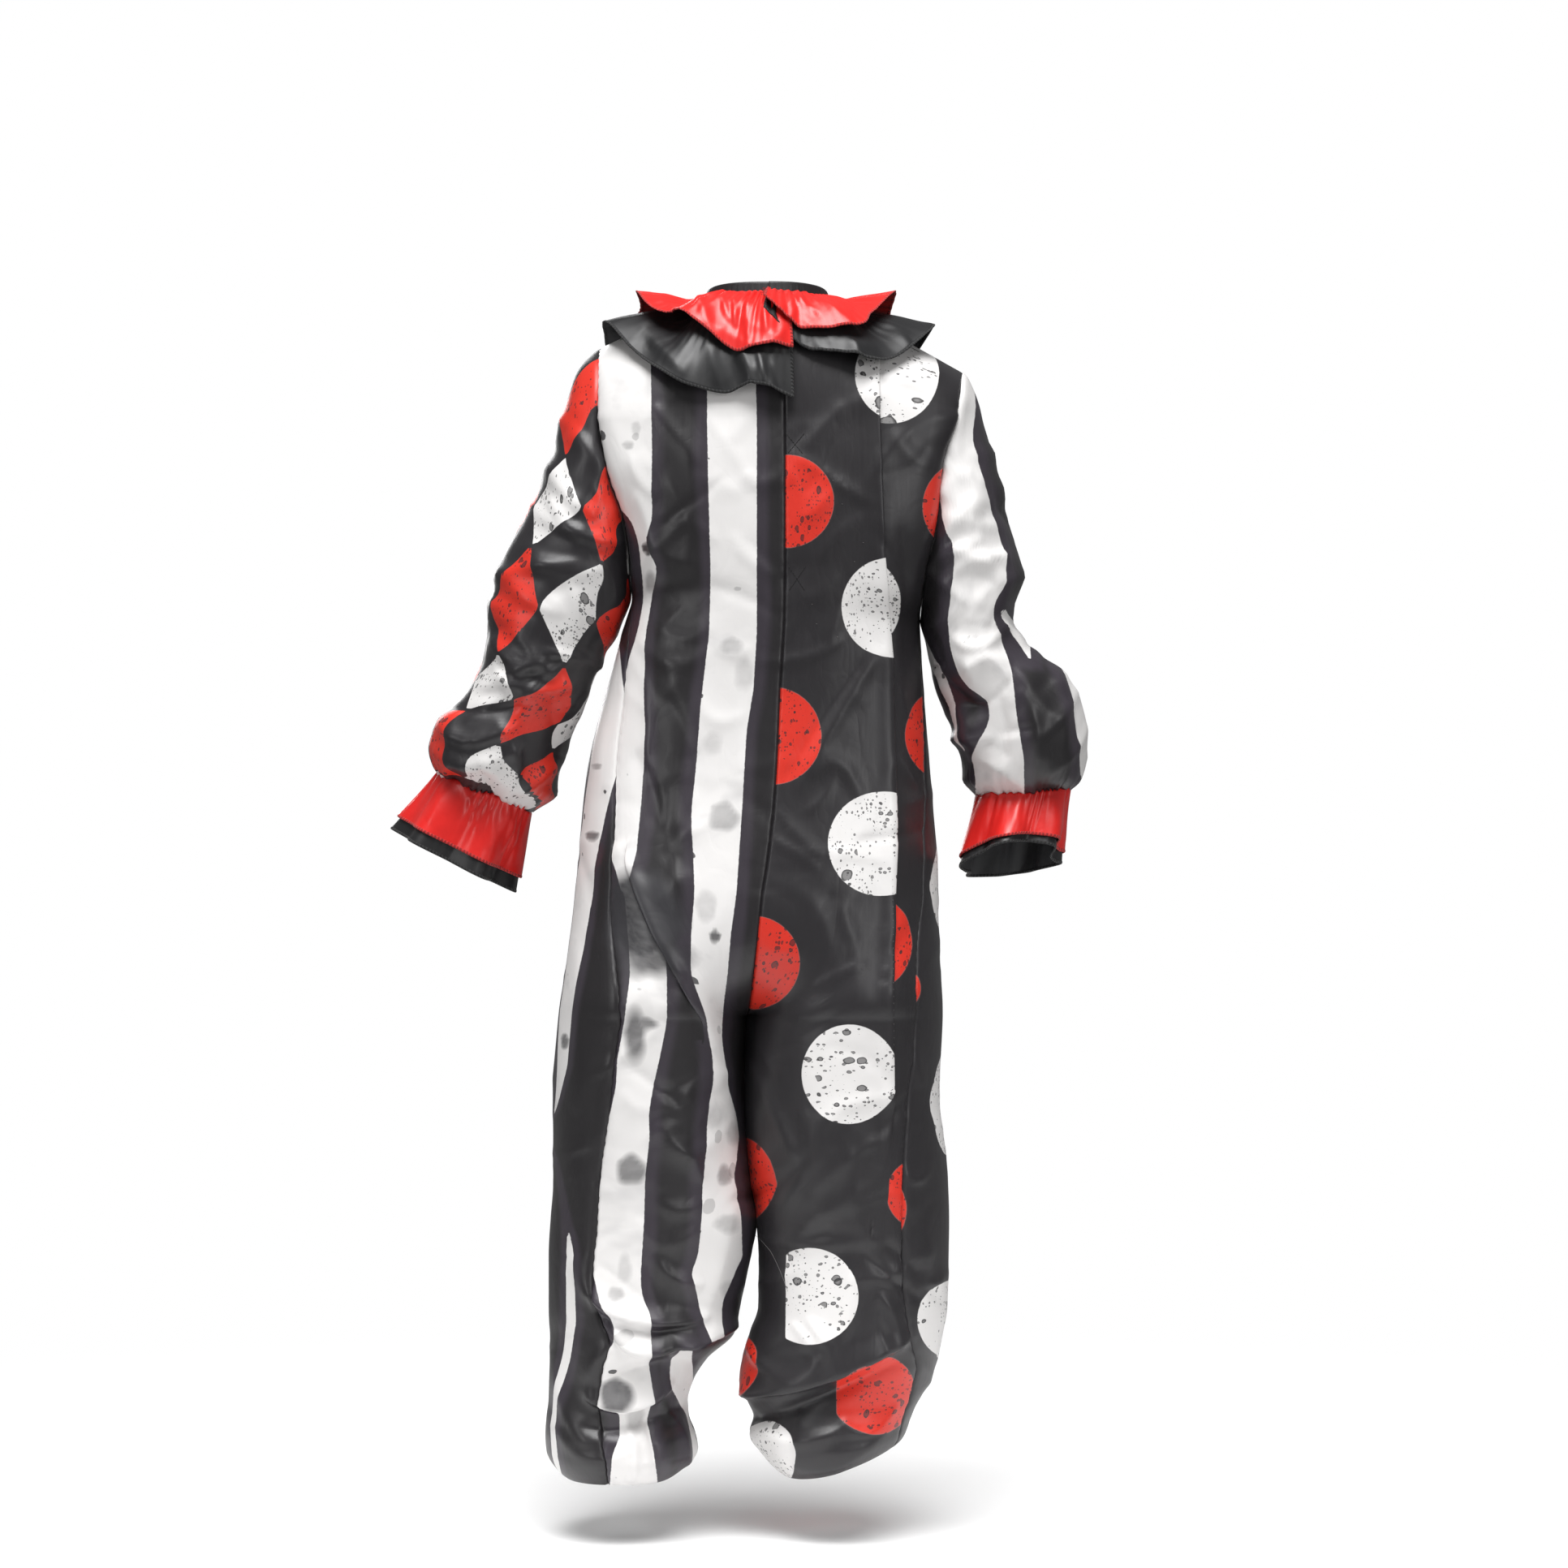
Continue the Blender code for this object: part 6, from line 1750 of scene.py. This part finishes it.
chest = chest_surface()
ruffle_ends = {}
turn = np.linspace(RIGHT_END, LEFT_END, RUFFLE_COLUMNS)
ruffle_edges = np.array(sorted(RUFFLE_EDGES))
edge_at = np.interp(turn, ruffle_edges[:, 0], np.arange(len(ruffle_edges)))
edge_values = smooth_rows(ruffle_edges, edge_at)
down_ruffle = np.linspace(0.0, 1.0, RUFFLE_ROWS) ** RUFFLE_ROW_GROWTH
for colour, depth, lift, step in (("black", edge_values[:, 2], edge_values[:, 4], 0.0),
                                  ("red", edge_values[:, 1], edge_values[:, 3], RUFFLE_STEP)):
    grid = np.zeros((RUFFLE_ROWS, RUFFLE_COLUMNS, 3))
    normals = np.zeros_like(grid)
    leave = eased(np.clip(down_ruffle / SEAM_LEAVING, 0, 1))[:, None]
    for j, degrees_round in enumerate(turn):
        line, outward = drape_line(chest, radians(degrees_round), depth[j] * down_ruffle)
        wave = RUFFLE_WAVE_HEIGHT * (1 + cos(radians(degrees_round) * RUFFLE_WAVES + 0.6))
        stand = RUFFLE_STAND + step + down_ruffle * (lift[j] + wave)
        stand = stand + LAP_RISE * lap(degrees_round)
        grid[:, j] = line + outward * stand[:, None]
        normals[:, j] = outward
        seam_out = RUFFLE_SEAM_OUT + LAP_OUT * lap(degrees_round)
        seam = neck_point(radians(degrees_round)) + level_direction(degrees_round) * seam_out
        seam[2] += SEAM_WALL + SEAM_SHARE * step + LAP_RISE * lap(degrees_round)
        fan = seam + (grid[:, j] - grid[0, j])
        grid[:, j] = fan * (1 - leave) + grid[:, j] * leave
    for _ in range(RUFFLE_SMOOTHING):
        grid[1:-1] = (grid[:-2] + 2 * grid[1:-1] + grid[2:]) / 4
        grid[2:, 1:-1] = (grid[2:, :-2] + 2 * grid[2:, 1:-1] + grid[2:, 2:]) / 4
    phase = 0.0 if colour == "red" else 2.0
    angle = np.radians(turn)
    gathers = np.sin(RUFFLE_GATHERS * (angle + 0.05 * np.sin(7 * angle + phase)) + phase)
    gathers = gathers * (0.75 + 0.25 * np.sin(11 * angle + phase))
    from_seam = down_ruffle[:, None] * depth[None, :]
    fade = np.exp(-from_seam / RUFFLE_GATHER_REACH)
    start = np.clip(from_seam / RUFFLE_GATHER_START, 0.25, 1)
    grid = grid + normals * (RUFFLE_GATHER_HEIGHT * gathers * fade * start)[..., None]
    grid = crease_cloth(grid, normals, RUFFLE_CREASES[colour], RUFFLE_CREASING)
    ruffle_ends[colour] = grid[:, 0]
    piece = cloth_piece(f"collar_{colour}", SATINS[colour], grid, outward=-1.0)
    edges = [serged_edge(f"collar_{colour}_serging", grid[-1], grid[-2] - grid[-1], normals[-1], colour,
                         False)]
    for end, beside, name in ((0, 1, "right"), (-1, -2, "left")):
        edges.append(serged_edge(f"collar_{colour}_{name}_end", grid[1:, end],
                                 grid[1:, beside] - grid[1:, end], normals[1:, end], colour, False))
    width, length, area = (0.85, 0.073, 0.041) if colour == "red" else (0.96, 0.107, 0.064)


# ================================================================ stitches and loose threads
# Crossed stitches in black beside the back seam, small pale ones that hold the right fold, ends
# of thread in the cloth, a loose thread at the crotch, and a fray at the red ruffle's right end.

THREAD_SIDES = 5
THREAD_ASIDE = (0.31, 0.17, 0.93)      # a direction that no thread runs in
STITCH_RISE = 0.0003       # how far a stitch's ends and its middle stand off the cloth
STITCH_BOW = 0.0002
CROSS_STITCHES = (2.9, 2.2)            # pitch and length, in millimetres
FOLD_STITCHES = (6.1, 0.9)
THICK_THREAD = 0.00022     # radii
FINE_THREAD = 0.00016
LOOSE_THREAD = 0.00013
SHELLS = {side: BVHTree.FromObject(bpy.data.objects[f"back_{side}_cloth"],
                                   bpy.context.evaluated_depsgraph_get())
          for side in ("left", "right")}


def on_back(x, z, rise):
    """The point of the suit's back that shows at x, z, raised off the cloth."""
    eye = Vector(VIEWPOINT)
    way = (Vector((x * MILLIMETRE, 0.0, z * MILLIMETRE)) - eye).normalized()
    hits = [shell.ray_cast(eye, way) for shell in SHELLS.values()]
    place, normal = min((hit for hit in hits if hit[0] is not None), key=lambda hit: hit[3])[:2]
    return place + normal * rise


def thread_piece(name, paths, radius, thread):
    """Short round threads as one piece; a path is a list of points."""
    vertices = []
    faces = []
    for path in paths:
        points = np.array([list(point) for point in path])
        ways = np.gradient(points, axis=0)
        side = unit(np.cross(ways, THREAD_ASIDE))
        over = unit(np.cross(ways, side))
        first = len(vertices)
        for place, a, b in zip(points, side, over):
            for k in range(THREAD_SIDES):
                angle = k * tau / THREAD_SIDES
                vertices.append((place + radius * (a * cos(angle) + b * sin(angle))).tolist())
        for i in range(len(points) - 1):
            for k in range(THREAD_SIDES):
                at, beside = first + i * THREAD_SIDES + k, first + i * THREAD_SIDES + (k + 1) % THREAD_SIDES
                faces.append((at, beside, beside + THREAD_SIDES, at + THREAD_SIDES))
    return new_piece(name, [thread], vertices, faces)


def stitched(start, end, pitch, length):
    """The stitches of a straight run, as they show."""
    start, end = np.array(start, dtype=float), np.array(end, dtype=float)
    whole = np.linalg.norm(end - start)
    way = (end - start) / whole
    rises = (STITCH_RISE, STITCH_RISE + STITCH_BOW, STITCH_RISE + STITCH_BOW, STITCH_RISE)
    return [[on_back(*(start + way * (at + k * length / 3)), rise) for k, rise in enumerate(rises)]
            for at in np.arange(0.0, whole - length, pitch)]


crosses = []
for x, z, half_width, half_height in ((-25.0, -126.4, 8.0, 9.6), (-26.6, -245.6, 7.4, 10.8)):
    for across in (half_width, -half_width):
        crosses += stitched((x + across, z + half_height), (x - across, z - half_height), *CROSS_STITCHES)
thread_piece("crossed_stitches", crosses, THICK_THREAD, THREADS["black"])

# its second, darker colour is painted shade between the loops of the thread
PALE_THREAD = thread_material("pale_thread", (0.42, 0.40, 0.39), (0.20, 0.19, 0.19))
# each thread end rises out of the cloth in three points
dots = [[on_back(x + k * 0.45, z + k * 0.3, 0.0004 + 0.0003 * k) for k in range(3)]
        for x, z in ((-59.0, -158.7), (-66.9, -179.5), (-85.8, -213.8), (-78.0, -230.6), (-40.3, -268.3),
                     (-62.6, -297.5), (-44.4, -285.8), (-31.0, -905.0))]
dots += stitched((-111.4, -512.0), (-112.4, -664.0), *FOLD_STITCHES)
thread_piece("thread_ends", dots, FINE_THREAD, PALE_THREAD)
loose = [(10.8, -828.0), (5.2, -832.0), (0.9, -836.6), (-3.6, -842.0), (-6.5, -847.4), (-9.3, -853.2),
         (-12.1, -859.7), (-14.8, -866.4), (-17.3, -873.4), (-19.0, -878.0)]
loose = [on_back(x, z, 2 * STITCH_RISE) for x, z in loose]
thread_piece("loose_thread", [loose], LOOSE_THREAD, PALE_THREAD)

fray = []
draw = np.random.default_rng(4)
for end in (ruffle_ends["red"][2:16:2], ruffle_ends["red"][18:38:4]):
    for place in end:
        way = np.array([draw.uniform(0.2, 1.0), draw.uniform(0.1, 0.6), draw.uniform(-0.9, 0.4)])
        bend = draw.normal(0, 0.25, 3)
        reach = draw.uniform(0.002, 0.005)
        fray.append([place + reach * f * (way + bend * f) for f in np.linspace(0, 1, 6)])
thread_piece("frayed_end", fray, FINE_THREAD, THREADS["red"])


# ================================================================ floor, light and camera
# A plain pale floor where the wearer's soles would be, broad soft lamps and a level camera
# behind the suit.

FLOOR_Z = -1.093
FLOOR_SIZE = 6.0
FLOOR_WHOLE = 0.35         # the floor is whole this far out, and gone into the backdrop that far
FLOOR_SEEN = 1.5
PICTURE_WIDTH = 1932 * 0.00072         # of what the camera takes in at the suit
SENSOR = 36.0
AMBIENT = 0.17
BACKDROP = 1.0
LAMPS_AIM = (0.0, 0.0, -0.5)

bpy.ops.mesh.primitive_plane_add(size=FLOOR_SIZE, location=(0, 0, FLOOR_Z))
floor = bpy.context.active_object
floor.name = "studio_floor"
floor_paint = bpy.data.materials.new("studio_floor")
floor_paint.use_nodes = True
tree = floor_paint.node_tree
shader = tree.nodes["Principled BSDF"]
shader.inputs["Base Color"].default_value = (0.93, 0.93, 0.93, 1.0)
shader.inputs["Roughness"].default_value = 0.85
out_from_suit = node(tree, "VectorMath", {0: node(tree, "TexCoord").outputs["Object"]}, operation="LENGTH")
fading = ranged(tree, out_from_suit.outputs["Value"], FLOOR_WHOLE, FLOOR_SEEN, 1.0, 0.0,
                interpolation_type="SMOOTHSTEP")
tree.links.new(fading, shader.inputs["Alpha"])
floor.data.materials.append(floor_paint)

# soft light from all around; the backdrop itself is seen paler than the light it gives
world = bpy.data.worlds.new("studio")
world.use_nodes = True
tree = world.node_tree
background = tree.nodes["Background"]
background.inputs["Color"].default_value = (1.0, 1.0, 1.0, 1.0)
strength = ranged(tree, node(tree, "LightPath").outputs["Is Camera Ray"], 0.0, 1.0, AMBIENT, BACKDROP)
tree.links.new(strength, background.inputs["Strength"])
bpy.context.scene.world = world
bpy.context.scene.view_settings.view_transform = "Standard"

for name, place, width, height, power in (("right_softbox", (-2.5, 2.9, 0.5), 0.7, 1.8, 25.0),
                                          ("left_softbox", (2.6, 2.3, 0.3), 0.7, 1.6, 16.0),
                                          ("top_softbox", (0.2, 1.3, 2.0), 1.6, 0.8, 32.0),
                                          ("front_softbox", (1.0, -3.4, 0.8), 1.2, 2.0, 46.0)):
    light = bpy.data.lights.new(name, "AREA")
    light.shape = "RECTANGLE"
    light.size = width
    light.size_y = height
    light.energy = power
    holder = placed(name, light)
    holder.location = place
    holder.rotation_euler = (Vector(LAMPS_AIM) - Vector(place)).to_track_quat("-Z", "Y").to_euler()

sky = bpy.data.lights.new("overhead_diffuser", "SUN")
sky.energy = 3.25
sky.angle = radians(44)
placed("overhead_diffuser", sky).rotation_euler = (radians(-22), 0.0, 0.0)

lens = bpy.data.cameras.new("camera")
lens.sensor_width = SENSOR
lens.lens = SENSOR * VIEWPOINT[1] / PICTURE_WIDTH
camera = placed("camera", lens)
camera.location = VIEWPOINT
camera.rotation_euler = (pi / 2, 0.0, pi)
bpy.context.scene.camera = camera
